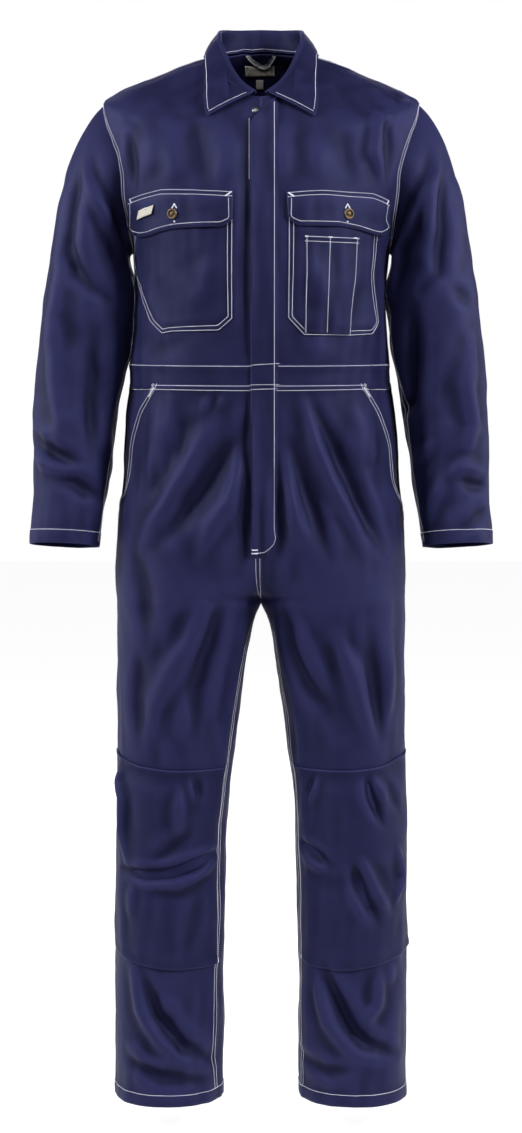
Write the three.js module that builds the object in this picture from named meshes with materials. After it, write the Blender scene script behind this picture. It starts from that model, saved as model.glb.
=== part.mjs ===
// Work boiler suit in heavy twill, worn shape with empty hollows, millimetres, +Z up.
// The front faces -Y and the wearer's left is +X. The origin lies between the neck ends of the
// shoulder seams, where the wearer's shoulders carry the suit.
import * as THREE from 'three';

// Driving sizes
const CLOTH = 2.0;
const PATCH = 1.3;
const TAPE = 1.0;
const SEAM_GAP = 0.3;
const LIFT = 0.9;
const EASE = 0.5;
const BUTTON_DIAMETER = 15;
const BUTTON_HEIGHT = 3.6;
const STUD_DIAMETER = 10;
const STUD_HEIGHT = 2.4;
const PLACKET_FREE_EDGE = -14.5;
const PLACKET_SEWN_EDGE = 21.5;
const PLACKET_TOP = -84;
const PLACKET_BOTTOM = -731;
const COLLAR_FOLD_RADIUS = 3.2;
const CHEST_HALF_WIDTH = 212;

// Mesh density: cells along a panel, counted between the named rows
const FRONT_CELLS = 9;
const BACK_CELLS = 16;
const LEG_CELLS = 9;
const SLEEVE_CAP_CELLS = 5;

const NAVY = 0x2b2b55;
const BRASS = 0x6b5434;
const STEEL = 0x9a9aa4;
const WHITE_TAPE = 0xd9d9dc;
const PALE_LABEL = 0xcfc9b8;

// A short table: the first text names the columns, and each list below it is one row
function table(names, rows) {
  const keys = names.split(' ');
  return rows.map((row) => Object.fromEntries(keys.map((key, i) => [key, row[i]])));
}

// Rings of the trunk from the lower waist seam up to the neck seam. The first three columns are
// heights at the centre front, the side and the centre back. Slit is the armhole's half breadth,
// and extra widens the wearer's right half, whose cloth stands out more at the waist.
const TRUNK = table('front side back outer edge frontDepth backDepth frontSpan backSpan full slit extra', [
  [-492, -487, -486, 190, 0, 131, 124, 90, 90, 2.3, 190, 6],
  [-460, -454, -452, 188, 0, 134, 125, 90, 90, 2.3, 188, 8],
  [-425, -421, -420, 186, 0, 138, 128, 90, 90, 2.35, 186, 5],
  [-390, -388, -388, 184.5, 0, 143, 132, 90, 90, 2.4, 184.5, 3.5],
  [-354, -354, -354, 184, 0, 147, 136, 90, 90, 2.4, 184, 2],
  [-322, -322, -322, 185, 0, 149, 138, 90, 90, 2.4, 185, 0.5],
  [-292, -292, -292, 188, 0, 150, 140, 90, 90, 2.4, 188, 0],
  [-272, -272, -272, 194, 0, 150, 141, 90, 90, 2.4, 191.5, 0],
  [-247, -245, -245, 202, 0, 149.5, 141, 90, 90, 2.4, 196, 0],
  [-221, -214, -215, 211, 0, 148, 141, 90, 90, 2.4, 199, 0],
  [-198, -183, -185, 218.5, 0, 145, 140, 90, 90, 2.4, 200.5, 0],
  [-178, -152, -155, 225, 0, 141, 137, 90, 90, 2.4, 205.5, 0],
  [-158, -124, -128, 229.5, 0, 136, 134, 90, 90, 2.35, 214, 0],
  [-141, -97, -104, 232.5, 0, 130, 129, 90, 90, 2.3, 224.5, 0],
  [-127, -71, -81, 232, 0, 125, 124, 90, 90, 2.25, 232, 0],
  [-114, -57, -58, 211, 0, 120, 116, 90, 90, 2.2, 211, 0],
  [-103, -40, -35, 172, 0, 115.5, 105, 90, 90, 2.15, 172, 0],
  [-90, -22, -11, 130, 0, 110, 90, 90, 90, 2.05, 130, 0],
  [-77, -2, 14, 76, 0, 105, 70, 90, 90, 2, 76, 0],
]);
const WAIST_TOP_ROW = 1;
const TIP_ROW = 14;
const NECK_ROW = 18;

// Rings of one leg from the lower waist seam down to the hem. Edge is the x of the crotch seam or
// of the inseam, the spans are the angles at which front and back end, and slit is the x of the
// hip pocket's opening.
const LEG = table('front side back outer edge frontDepth backDepth frontSpan backSpan full slit extra', [
  [-492, -487, -486, 190, 0, 131, 124, 90, 90, 2.3, 151, 6],
  [-535, -532, -531, 198, 0, 130, 129, 90, 91, 2.3, 177, 4],
  [-580, -578, -578, 203, 0, 128, 133, 91, 93, 2.3, 191, 1],
  [-625, -625, -625, 206.5, 0, 126, 134, 94, 98, 2.3, 196.5, 0],
  [-667, -667, -667, 211, 0, 124, 132, 98, 106, 2.3, 211, 0],
  [-702, -702, -702, 213.5, 0, 122, 129, 104, 118, 2.3, 213.5, 0],
  [-735, -735, -735, 215.5, 0, 119, 125, 114, 136, 2.3, 215.5, 0],
  [-768, -768, -768, 216, 0, 116, 120, 131, 155, 2.3, 216, 0],
  [-791, -791, -791, 215.5, 0, 113, 116, 152, 169, 2.3, 215.5, 0],
  [-806, -806, -806, 215, 0, 111, 114, 180, 180, 2.3, 215, 0],
  [-828, -828, -828, 215, 9, 108, 111, 172, 188, 2.3, 215, 0],
  [-868, -868, -868, 215, 20, 104, 108, 167, 193, 2.3, 215, 0],
  [-915, -915, -915, 215, 28, 100, 105, 165, 195, 2.3, 215, 0],
  [-975, -975, -975, 215, 36, 95, 102, 165, 195, 2.25, 215, 0],
  [-1030, -1030, -1030, 216, 42.5, 91, 99, 165, 195, 2.2, 216, 0],
  [-1085, -1085, -1085, 216.5, 50, 88, 96, 165, 195, 2.2, 216.5, 0],
  [-1145, -1145, -1145, 217, 53.5, 86, 93, 165, 195, 2.2, 217, 0],
  [-1205, -1205, -1205, 218, 55.5, 84, 91, 165, 195, 2.2, 218, 0],
  [-1265, -1265, -1265, 219, 56.5, 82, 91, 165, 195, 2.2, 219, 0],
  [-1325, -1325, -1325, 220, 58, 80, 91, 165, 195, 2.2, 220, 0],
  [-1385, -1385, -1385, 220.5, 59.5, 79, 90, 165, 195, 2.2, 220.5, 0],
  [-1445, -1445, -1445, 219.5, 59.5, 78, 88, 165, 195, 2.2, 219.5, 0],
  [-1505, -1505, -1506, 219.5, 61, 78, 86, 165, 195, 2.2, 219.5, 0],
  [-1558, -1557, -1562, 220, 61.5, 78, 85, 165, 195, 2.2, 220, 0],
]);
const POCKET_END_ROW = 4;
const CROTCH_ROW = 9;

// Rings of the sleeve from the biceps to the cuff: centre, half width and half depth, and the
// slopes by which a ring rises towards the outer edge (turn) and towards the front (lean)
const SLEEVE = table('x y z halfWidth halfDepth turn lean', [
  [251.5, 2, -322, 63.5, 79, 0.27, 0],
  [255.5, 2, -366, 67.5, 78, 0.16, 0],
  [260.5, 2, -415, 68.5, 75, 0.11, 0.02],
  [268, 0, -465, 66, 73, 0.1, 0.05],
  [274.5, -3, -515, 63, 71, 0.09, 0.08],
  [278.5, -8, -562, 61, 68, 0.08, 0.1],
  [281.5, -14, -610, 58, 63, 0.07, 0.12],
  [285, -22, -658, 54.5, 57, 0.06, 0.13],
  [289, -30, -700, 52, 52, 0.05, 0.13],
  [291, -34, -723, 51, 49, 0.04, 0.12],
]);

// Largest folds of the suit's body: straight troughs (depth under zero) and ridges between two
// points of the front or the back. Side is 1 for the wearer's left, -1 for the right, 0 for both.
const BODY_FOLDS = table('face side x1 z1 x2 z2 width depth', [
  ['front', -1, 36, -520, 92, -760, 17, -5],
  ['front', -1, 66, -510, 120, -700, 15, 4],
  ['front', 1, 34, -520, 80, -740, 17, -5],
  ['front', 1, 62, -505, 128, -690, 15, 4],
  ['front', 0, 50, -840, 110, -980, 20, -4],
  ['front', 0, 150, -900, 178, -1010, 16, -3],
  ['front', -1, 180, -1365, 150, -1440, 13, 4],
  ['front', -1, 190, -1500, 80, -1525, 12, -4],
  ['front', 1, 98, -1365, 132, -1450, 13, -5],
  ['front', 1, 132, -1450, 196, -1500, 13, -5],
  ['front', 1, 168, -1360, 170, -1420, 12, 4],
  ['back', 0, 60, -300, 130, -400, 18, -5],
  ['back', 0, 90, -250, 165, -330, 16, -4],
  ['back', 0, 30, -560, 110, -640, 17, -4],
  ['back', 0, 40, -720, 140, -800, 16, -6],
  ['back', 0, 60, -860, 170, -900, 15, -4],
  ['back', 0, 80, -1110, 190, -1090, 15, -6],
  ['back', 0, 85, -1150, 190, -1165, 16, 5],
  ['back', 0, 90, -1210, 185, -1235, 15, -5],
  ['back', 0, 90, -1420, 180, -1450, 14, -4],
  ['back', 0, 95, -1490, 185, -1480, 13, 4],
]);

// Largest folds of a sleeve, given as for the body; x and z are those of the sleeve's points
const SLEEVE_FOLDS = table('face side x1 z1 x2 z2 width depth', [
  ['front', -1, 318, -345, 250, -425, 15, -5],
  ['front', -1, 300, -400, 240, -450, 13, 4],
  ['front', -1, 336, -575, 262, -605, 12, -5],
  ['front', -1, 330, -612, 245, -650, 13, 4],
  ['front', 1, 272, -230, 250, -330, 15, -4],
  ['front', 1, 262, -610, 320, -640, 13, -5],
  ['front', 1, 275, -580, 330, -555, 12, 4],
  ['front', 1, 268, -680, 322, -655, 12, -4],
  ['back', 0, 235, -300, 300, -380, 16, -5],
  ['back', 0, 240, -430, 325, -470, 14, -5],
  ['back', 0, 245, -500, 325, -500, 14, 4],
  ['back', 0, 250, -560, 325, -535, 14, -5],
]);

// Outlines of what lies on the chest, as x and z on the front: edges run from the placket side
// outwards, and sides run from the bottom up
const CHEST_FLAP = {
  top: [[41, -217], [90, -215.5], [135, -216], [165, -220], [192, -232]],
  bottom: [[41, -256], [56, -266.5], [95, -266.5], [135, -270], [165, -279], [180, -280], [190, -272]],
  inner: [[41, -256], [41, -217]],
  outer: [[190, -272], [190.5, -250], [192, -232]],
};
const CHEST_POCKET = {
  top: [[39, -232], [95, -231], [140, -233], [184, -246]],
  bottom: [[39, -399], [57, -416], [110, -417], [140, -418], [160, -408]],
  inner: [[39, -399], [39, -232]],
  outer: [[160, -408], [168, -372], [175, -320], [180.5, -280], [184, -246]],
};
const PEN_POCKET = {
  top: [[64, -279], [100, -279.5], [137, -283]],
  bottom: [[63, -411], [95, -412.5], [128, -413]],
  inner: [[63, -411], [64, -279]],
  outer: [[128, -413], [133, -350], [137, -283]],
};
const FLAP_TAB = {
  top: [[149, -232], [171, -238]],
  bottom: [[151, -244], [173, -250]],
  inner: [[151, -244], [149, -232]],
  outer: [[173, -250], [171, -238]],
};
const FLAP_BUTTON = { x: 123, z: -246 };
const FLAP_SEWN_DEPTH = 9;

// Knee pocket: heights of its top and bottom edges at angles round the leg from the outseam
const KNEE_POCKET = table('angle top bottom', [
  [3, -1030, -1322],
  [30, -1036, -1332],
  [60, -1046, -1342],
  [100, -1051, -1350],
  [135, -1051, -1349],
  [158, -1050, -1342],
]);
const KNEE_LEDGE_DEPTH = 5;
const KNEE_BULGE = 4;

// Collar from the centre back to its front end: angle of the neck seam, place of the fold, and
// angle and row of the leaf's edge on the trunk
const COLLAR = table('seam rollX rollY rollZ edge row', [
  [-90, 0, 77, 51, -90, 17.35],
  [-60, 31, 70, 49, -62, 17.4],
  [-30, 53, 46, 45, -34, 17.55],
  [-8, 61, 20, 39, -8, 17.68],
  [10, 61, -10, 24, 10, 17.7],
  [32, 54, -38, 0, 30, 17.55],
  [52, 42, -62, -30, 45, 17.25],
  [68, 27, -84, -53, 58, 16.6],
  [84, 9, -103, -69, 66.6, 15.74],
]);

const degrees = (value) => THREE.MathUtils.degToRad(value);
const power = (value, exponent) => Math.sign(value) * Math.abs(value) ** exponent;
const clamp = THREE.MathUtils.clamp;
const smooth = THREE.MathUtils.smoothstep;

// Value of a table column at a fractional row, on a curve that never overshoots its rows
function sample(rows, key, place) {
  const last = rows.length - 1;
  const i = clamp(Math.floor(place), 0, last - 1);
  const t = place - i;
  const step = (k) => rows[clamp(k + 1, 0, last)][key] - rows[clamp(k, 0, last)][key];
  const slope = (k) => {
    if (k === 0) return step(0);
    if (k === last) return step(last - 1);
    const before = step(k - 1);
    const after = step(k);
    return before * after > 0 ? (2 * before * after) / (before + after) : 0;
  };
  const from = rows[i][key];
  const to = rows[i + 1][key];
  const t2 = t * t;
  const t3 = t2 * t;
  return from * (2 * t3 - 3 * t2 + 1) + slope(i) * (t3 - 2 * t2 + t)
    + to * (3 * t2 - 2 * t3) + slope(i + 1) * (t3 - t2);
}

// Height on a straight-sided edge given as x and z points
function alongEdge(points, share) {
  const place = share * (points.length - 1);
  const i = clamp(Math.floor(place), 0, points.length - 2);
  const t = place - i;
  return points[i].map((value, k) => value * (1 - t) + points[i + 1][k] * t);
}

// Sum of the folds near a point, as a height along the cloth's normal
function relief(point, folds) {
  const line = new THREE.Line3();
  const nearest = new THREE.Vector3();
  let height = 0;
  for (const fold of folds) {
    line.set(fold.start, fold.end);
    line.closestPointToPoint(point, true, nearest);
    height += fold.depth * Math.exp(-((nearest.distanceTo(point) / fold.width) ** 2));
  }
  return height;
}

// Rings of the body, for the wearer's left half: an angle of 0 is the side seam, 90 the front
class BodySurface {
  constructor(rows) {
    this.rows = rows;
    this.folds = { 1: [], '-1': [] };
  }

  // Below the crotch the back ends where the front does, at the inseam
  backSpan(row) {
    const split = row > CROTCH_ROW && this.rows === LEG;
    return split ? 360 - sample(this.rows, 'frontSpan', row) : sample(this.rows, 'backSpan', row);
  }

  ring(angle, row, side = 1) {
    const value = (key) => sample(this.rows, key, row);
    const exponent = 2 / value('full');
    const span = degrees(angle < 0 ? this.backSpan(row) : value('frontSpan'));
    const outer = value('outer') + (side < 0 ? value('extra') : 0);
    const half = (outer - value('edge')) / (1 + Math.abs(Math.cos(span)) ** exponent);
    return { exponent, half, centre: outer - half, value };
  }

  base(angle, row, side = 1) {
    const { exponent, half, centre, value } = this.ring(angle, row, side);
    const across = power(Math.cos(degrees(angle)), exponent);
    const forward = power(Math.sin(degrees(angle)), exponent);
    const depth = forward > 0 ? value('frontDepth') : value('backDepth');
    const end = forward > 0 ? value('front') : value('back');
    const low = value('side');
    const z = low + (end - low) * Math.abs(forward) ** 1.4;
    return new THREE.Vector3(centre + half * across, -depth * forward, z);
  }

  normal(angle, row, side = 1) {
    const last = this.rows.length - 1;
    const around = this.base(angle + 0.5, row, side).sub(this.base(angle - 0.5, row, side));
    const along = this.base(angle, Math.min(row + 0.05, last), side);
    along.sub(this.base(angle, Math.max(row - 0.05, 0), side));
    const normal = around.cross(along).normalize();
    const outward = this.base(angle, row, side);
    outward.x -= this.ring(angle, row, side).centre;
    outward.z = 0;
    return normal.dot(outward) < 0 ? normal.negate() : normal;
  }

  // Point of the cloth's outer face, moved out by a height; side is 1 or -1
  at(angle, row, side, out = 0) {
    const p = this.base(angle, row, side);
    const n = this.normal(angle, row, side);
    const fade = smooth(Math.abs(p.x), 2, 24);
    p.addScaledVector(n, out + fade * relief(p, this.folds[side]));
    p.x *= side;
    n.x *= side;
    return { p, n };
  }

  // Angle of the slit's edge: an armhole or a pocket opening
  slitAngle(row, side = 1) {
    const { half, centre, value } = this.ring(1, row, side);
    const slit = value('slit') + (side < 0 ? value('extra') : 0);
    const share = Math.min((slit - centre) / half, 1);
    return THREE.MathUtils.radToDeg(Math.acos(share ** (value('full') / 2)));
  }

  // Angle and row of the point of the front or back that has this x and z
  locate(x, z, side = 1, face = 'front') {
    const way = face === 'front' ? 1 : -1;
    const angleAt = (row) => {
      const { half, centre, value } = this.ring(way, row, side);
      const share = clamp((x - centre) / half, -1, 1);
      return way * THREE.MathUtils.radToDeg(Math.acos(power(share, value('full') / 2)));
    };
    const last = this.rows.length - 1;
    const rising = this.rows[last].side > this.rows[0].side;
    let low = 0;
    let high = last;
    for (let i = 0; i < 40; i += 1) {
      const middle = (low + high) / 2;
      if (this.base(angleAt(middle), middle, side).z < z === rising) low = middle;
      else high = middle;
    }
    return { angle: angleAt(low), row: low };
  }

  rowAt(angle, z) {
    let low = 0;
    let high = this.rows.length - 1;
    for (let i = 0; i < 40; i += 1) {
      const middle = (low + high) / 2;
      if (this.base(angle, middle).z > z) low = middle;
      else high = middle;
    }
    return low;
  }

  setFolds(list) {
    for (const side of [1, -1]) {
      this.folds[side] = list.filter((fold) => fold.side !== -side).map((fold) => ({
        ...fold, start: fold.ends[0], end: fold.ends[1],
      }));
    }
  }
}

const trunk = new BodySurface(TRUNK);
const leg = new BodySurface(LEG);

// The body's surface at an x and z, above or below the waist seam
function onBody(x, z, out = 0, face = 'front') {
  const side = x < 0 ? -1 : 1;
  const upper = z > TRUNK[0].front;
  const surface = upper ? trunk : leg;
  const { angle, row } = surface.locate(Math.abs(x), z, side, face);
  return surface.at(angle, row, side, out);
}

const bodyFolds = BODY_FOLDS.map((fold) => ({
  ...fold,
  ends: [[fold.x1, fold.z1], [fold.x2, fold.z2]].map(([x, z]) => onBody(x, z, 0, fold.face).p),
}));
trunk.setFolds(bodyFolds);
leg.setFolds(bodyFolds);

// Armhole points of one side from the shoulder tip down the front to the armpit and up the back
const ARMHOLE_ROWS = [6, 6.35, 7, 8, 9, 10, 11, 12, 13, 13.6, 14];

function armhole(side) {
  const down = [...ARMHOLE_ROWS].reverse();
  const front = down.map((row) => trunk.at(trunk.slitAngle(row, side), row, side));
  const back = ARMHOLE_ROWS.slice(1, -1).map((row) => trunk.at(-trunk.slitAngle(row, side), row, side));
  return [...front, ...back];
}

// The sleeve, for one side: columns run round from the top over the front, rows run down
class SleeveSurface {
  constructor(side) {
    this.side = side;
    this.seam = armhole(side);
    this.seam.forEach((point) => {
      point.p.x *= side;
      point.n.x *= side;
    });
    const length = [0];
    const count = this.seam.length;
    for (let i = 0; i < count; i += 1) {
      length.push(length[i] + this.seam[i].p.distanceTo(this.seam[(i + 1) % count].p));
    }
    this.angles = this.seam.map((point, i) => (length[i] / length[count]) * 360);
    this.folds = SLEEVE_FOLDS.filter((fold) => fold.side !== -side).map((fold) => ({
      ...fold,
      start: this.locate(fold.x1, fold.z1, fold.face),
      end: this.locate(fold.x2, fold.z2, fold.face),
    }));
  }

  ring(angle, row) {
    const value = (key) => sample(SLEEVE, key, row);
    const across = Math.cos(degrees(angle)) * value('halfWidth');
    const forward = Math.sin(degrees(angle)) * value('halfDepth');
    return new THREE.Vector3(value('x') + across, value('y') - forward,
      value('z') + across * value('turn') + forward * value('lean'));
  }

  // Point on the cap between the armhole and the biceps ring, for one of the seam's columns
  cap(column, share) {
    const start = this.seam[column].p;
    const angle = this.angles[column];
    const end = this.ring(angle, 0);
    const reach = start.distanceTo(end);
    const turn = Math.cos(degrees(angle));
    const leave = new THREE.Vector3(0.74 + 0.1 * (1 - turn), -0.25 * Math.sin(degrees(angle)),
      -0.32 - 0.38 * turn);
    const arrive = this.ring(angle, 0.1).sub(end).normalize();
    const t2 = share * share;
    const t3 = t2 * share;
    return start.clone().multiplyScalar(2 * t3 - 3 * t2 + 1)
      .addScaledVector(leave, reach * 0.9 * (t3 - 2 * t2 + share))
      .addScaledVector(end, 3 * t2 - 2 * t3)
      .addScaledVector(arrive, reach * (t3 - t2));
  }

  // Rows under zero lie on the cap, from -1 at the armhole to 0 at the biceps
  base(column, row) {
    return row < 0 ? this.cap(column, row + 1) : this.ring(this.angles[column], row);
  }

  at(column, row, out = 0) {
    const count = this.seam.length;
    const next = (column + 1) % count;
    const before = (column + count - 1) % count;
    const p = this.base(column, row);
    const around = this.base(next, row).sub(this.base(before, row));
    const down = this.base(column, row + 0.04).sub(this.base(column, Math.max(row - 0.04, -1)));
    const n = around.cross(down).normalize();
    const centre = sample(SLEEVE, 'x', Math.max(row, 0));
    const outward = new THREE.Vector3(p.x - centre, p.y, 0);
    if (row > -0.5 && n.dot(outward) < 0) n.negate();
    if (row <= -0.5 && n.dot(this.radial(column)) < 0) n.negate();
    if (row === -1) n.copy(this.radial(column));
    const fade = smooth(row, -0.85, -0.4);
    p.addScaledVector(n, out + fade * relief(p, this.folds));
    p.x += SEAM_GAP;
    p.x *= this.side;
    n.x *= this.side;
    return { p, n };
  }

  // Direction out of the armhole's middle, level with the seam
  radial(column) {
    const angle = degrees(this.angles[column]);
    return new THREE.Vector3(0.1, -Math.sin(angle), Math.cos(angle)).normalize();
  }

  locate(x, z, face) {
    const way = face === 'front' ? 1 : -1;
    let low = 0;
    let high = SLEEVE.length - 1;
    const angleAt = (row) => {
      const share = (x - sample(SLEEVE, 'x', row)) / sample(SLEEVE, 'halfWidth', row);
      return way * THREE.MathUtils.radToDeg(Math.acos(clamp(share, -1, 1)));
    };
    for (let i = 0; i < 30; i += 1) {
      const middle = (low + high) / 2;
      if (this.ring(angleAt(middle), middle).z > z) low = middle;
      else high = middle;
    }
    return this.ring(angleAt(low), low);
  }
}

// Signed volume of a triangle list, positive where the faces point out
function signedVolume(points, faces) {
  let volume = 0;
  for (const [a, b, c] of faces) {
    volume += points[a].dot(new THREE.Vector3().crossVectors(points[b], points[c]));
  }
  return volume / 6;
}

function meshOf(name, points, faces, colour, metalness = 0, roughness = 0.85) {
  const outward = signedVolume(points, faces) > 0;
  const geometry = new THREE.BufferGeometry();
  geometry.setAttribute('position',
    new THREE.Float32BufferAttribute(points.flatMap((p) => [p.x, p.y, p.z]), 3));
  geometry.setIndex(faces.flatMap(([a, b, c]) => (outward ? [a, b, c] : [a, c, b])));
  const material = new THREE.MeshStandardMaterial({ color: colour, metalness, roughness });
  const mesh = new THREE.Mesh(geometry, material);
  mesh.name = name;
  return mesh;
}

// A wall of cloth from a grid of outer points with their normals. A wrapped grid closes round a
// tube, so that only its two ends have a rim.
function cloth(name, grid, { thick = CLOTH, wrap = false, shift = [0, 0, 0], colour = NAVY } = {}) {
  const rows = grid.length;
  const columns = grid[0].length;
  const moved = new THREE.Vector3(...shift);
  const outer = grid.flat().map(({ p }) => p.clone().add(moved));
  const inner = grid.flat().map(({ p, n }, i) => outer[i].clone().addScaledVector(n, -thick));
  const points = [...outer, ...inner];
  const under = rows * columns;
  const faces = [];
  const quad = (a, b, c, d) => faces.push([a, b, c], [a, c, d]);
  const cells = wrap ? columns : columns - 1;
  for (let i = 0; i < rows - 1; i += 1) {
    for (let j = 0; j < cells; j += 1) {
      const k = (j + 1) % columns;
      const corners = [i * columns + j, i * columns + k, (i + 1) * columns + k, (i + 1) * columns + j];
      quad(...corners);
      quad(...corners.map((corner) => corner + under).reverse());
    }
  }
  const rim = (a, b) => quad(b, a, a + under, b + under);
  for (let j = 0; j < cells; j += 1) {
    const k = (j + 1) % columns;
    rim(j, k);
    rim((rows - 1) * columns + k, (rows - 1) * columns + j);
  }
  if (!wrap) {
    for (let i = 0; i < rows - 1; i += 1) {
      rim((i + 1) * columns, i * columns);
      rim((i + 1) * columns - 1, (i + 2) * columns - 1);
    }
  }
  return meshOf(name, points, faces, colour);
}

// Even steps from one number to another
const steps = (from, to, count) => Array.from({ length: count + 1 }, (_, i) => from + ((to - from) * i) / count);

const BODICE_ROWS = [1, 2, 3, 4, 5, ...ARMHOLE_ROWS, 15, 16.2, 17.2, 18];
const POCKET_ROWS = [0, 0.6, 1.3, 2, 2.7, 3.4, 3.75];
const LEG_ROWS = [...POCKET_ROWS, 4, 5, 6, 6.6, 7.2, 7.7, 8.2, 8.65, 9, 9.5, 10.2, 11, 12, 13.5, 15,
  16, 17, 18.2, 19.4, 20.6, 21.8, 23];
const SIDES = table('name side', [['left', 1], ['right', -1]]);
const HALF_GAP = SEAM_GAP / 2;

function bodiceFront({ name, side }) {
  const grid = BODICE_ROWS.map((row) => steps(trunk.slitAngle(row, side), 90, FRONT_CELLS)
    .map((angle) => trunk.at(angle, row, side)));
  return cloth(`bodice_front_${name}`, grid, { shift: [side * HALF_GAP, -HALF_GAP, SEAM_GAP] });
}

function bodiceBack() {
  const grid = BODICE_ROWS.map((row) => {
    const half = steps(-90, -trunk.slitAngle(row), BACK_CELLS / 2);
    const left = half.slice(1).map((angle) => trunk.at(angle, row, 1));
    const right = half.map((angle) => trunk.at(angle, row, -1)).reverse();
    return [...right, ...left];
  });
  return cloth('bodice_back', grid, { shift: [0, HALF_GAP, SEAM_GAP] });
}

function waistband() {
  const rows = [0, WAIST_TOP_ROW];
  const fronts = SIDES.map(({ name, side }) => cloth(`waist_front_${name}`,
    rows.map((row) => steps(0, 90, FRONT_CELLS).map((angle) => trunk.at(angle, row, side))),
    { shift: [side * HALF_GAP, -HALF_GAP, 0] }));
  const back = cloth('waist_back', rows.map((row) => {
    const half = steps(-90, 0, BACK_CELLS / 2);
    const left = half.slice(1).map((angle) => trunk.at(angle, row, 1));
    return [...half.map((angle) => trunk.at(angle, row, -1)).reverse(), ...left];
  }), { shift: [0, HALF_GAP, 0] });
  return [...fronts, back];
}

function legPanels({ name, side }) {
  const front = LEG_ROWS.map((row) => {
    const edge = row < POCKET_END_ROW ? leg.slitAngle(row, side) : 0;
    return steps(edge, sample(LEG, 'frontSpan', row), LEG_CELLS)
      .map((angle) => leg.at(angle, row, side));
  });
  const back = LEG_ROWS.map((row) => steps(0, -leg.backSpan(row), LEG_CELLS)
    .map((angle) => leg.at(angle, row, side)));
  return [
    cloth(`leg_front_${name}`, front, { shift: [side * HALF_GAP, -HALF_GAP, -SEAM_GAP] }),
    cloth(`leg_back_${name}`, back, { shift: [side * HALF_GAP, HALF_GAP, -SEAM_GAP] }),
  ];
}

// Cloth behind the slanted hip opening, sewn at the side seam and under the leg's front
function hipFacing({ name, side }) {
  const grid = POCKET_ROWS.slice(0, -1).map((row) => {
    const opening = leg.slitAngle(row, side);
    const underlap = (sample(LEG, 'frontSpan', row) - opening) / LEG_CELLS;
    return [...steps(0.5, opening, 3), opening + underlap]
      .map((angle) => leg.at(angle, row, side, -(CLOTH + LIFT + EASE)));
  });
  return cloth(`hip_facing_${name}`, grid,
    { thick: PATCH, shift: [side * HALF_GAP, -HALF_GAP, -SEAM_GAP] });
}

function sleeve({ name, side }) {
  const surface = new SleeveSurface(side);
  const rows = [...steps(-1, 0, SLEEVE_CAP_CELLS), ...steps(0.8, SLEEVE.length - 1, 10)];
  const columns = surface.seam.map((_, i) => i);
  return cloth(`sleeve_${name}`, rows.map((row) => columns.map((column) => surface.at(column, row))),
    { wrap: true });
}

// A piece laid on the front inside four edges of x and z points. Out gives its height from its
// shares across and up.
function patch(name, outline, side, across, up, out, options) {
  const bend = ([x, z]) => [Math.asin(x / CHEST_HALF_WIDTH), z];
  const edge = (key) => {
    const points = outline[key].map(bend);
    return (share) => alongEdge(points, share);
  };
  const [top, bottom, inner, outer] = ['top', 'bottom', 'inner', 'outer'].map(edge);
  const corner = (s, t) => (t ? top(s) : bottom(s));
  const grid = steps(0, 1, up).map((t) => steps(0, 1, across).map((s) => {
    const [angle, z] = [0, 1].map((k) => (1 - t) * bottom(s)[k] + t * top(s)[k]
      + (1 - s) * inner(t)[k] + s * outer(t)[k]
      - (1 - s) * ((1 - t) * corner(0, 0)[k] + t * corner(0, 1)[k])
      - s * ((1 - t) * corner(1, 0)[k] + t * corner(1, 1)[k]));
    const x = CHEST_HALF_WIDTH * Math.sin(angle);
    return onBody(side * x, z, out(s, t));
  }));
  return cloth(name, grid, { thick: PATCH, ...options });
}

function chestPieces() {
  const pocketOut = LIFT + PATCH;
  const flapOut = pocketOut + LIFT + EASE + PATCH;
  const flapHeight = 50;
  const flapRise = (s, t) => {
    const below = (1 - t) * flapHeight;
    return pocketOut + (flapOut - pocketOut) * smooth(below, 0, FLAP_SEWN_DEPTH);
  };
  const pieces = SIDES.flatMap(({ name, side }) => [
    patch(`chest_pocket_${name}`, CHEST_POCKET, side, 11, 10, () => pocketOut),
    patch(`chest_flap_${name}`, CHEST_FLAP, side, 12, 4, flapRise),
    seated(`flap_button_${name}`, tackButton(), onBody(side * FLAP_BUTTON.x, FLAP_BUTTON.z, flapOut + LIFT / 2)),
  ]);
  pieces.push(patch('pen_pocket', PEN_POCKET, 1, 5, 8, () => pocketOut + LIFT + PATCH));
  const tabOptions = { thick: TAPE, colour: PALE_LABEL };
  pieces.push(patch('flap_tab', FLAP_TAB, -1, 2, 1, () => flapOut + LIFT + TAPE, tabOptions));
  return pieces;
}

// Places a turned piece with its back at a point and its axis along the normal
function seated(name, geometry, { p, n }, colour = BRASS) {
  const material = new THREE.MeshStandardMaterial({ color: colour, metalness: 0.9, roughness: 0.45 });
  const mesh = new THREE.Mesh(geometry, material);
  mesh.name = name;
  mesh.position.copy(p);
  mesh.quaternion.setFromUnitVectors(new THREE.Vector3(0, 1, 0), n);
  return mesh;
}

function turned(profile, sides) {
  return new THREE.LatheGeometry(profile.map(([r, y]) => new THREE.Vector2(r, y)), sides);
}

function tackButton() {
  const radius = BUTTON_DIAMETER / 2;
  return turned([
    [0, 0], [radius * 0.8, 0], [radius, BUTTON_HEIGHT * 0.45], [radius * 0.96, BUTTON_HEIGHT],
    [radius * 0.78, BUTTON_HEIGHT], [radius * 0.66, BUTTON_HEIGHT * 0.72], [0, BUTTON_HEIGHT * 0.8],
  ], 14);
}

function pressStud() {
  const radius = STUD_DIAMETER / 2;
  return turned([
    [0, 0], [radius, 0], [radius, STUD_HEIGHT * 0.6], [radius * 0.7, STUD_HEIGHT], [0, STUD_HEIGHT],
  ], 14);
}

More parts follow.
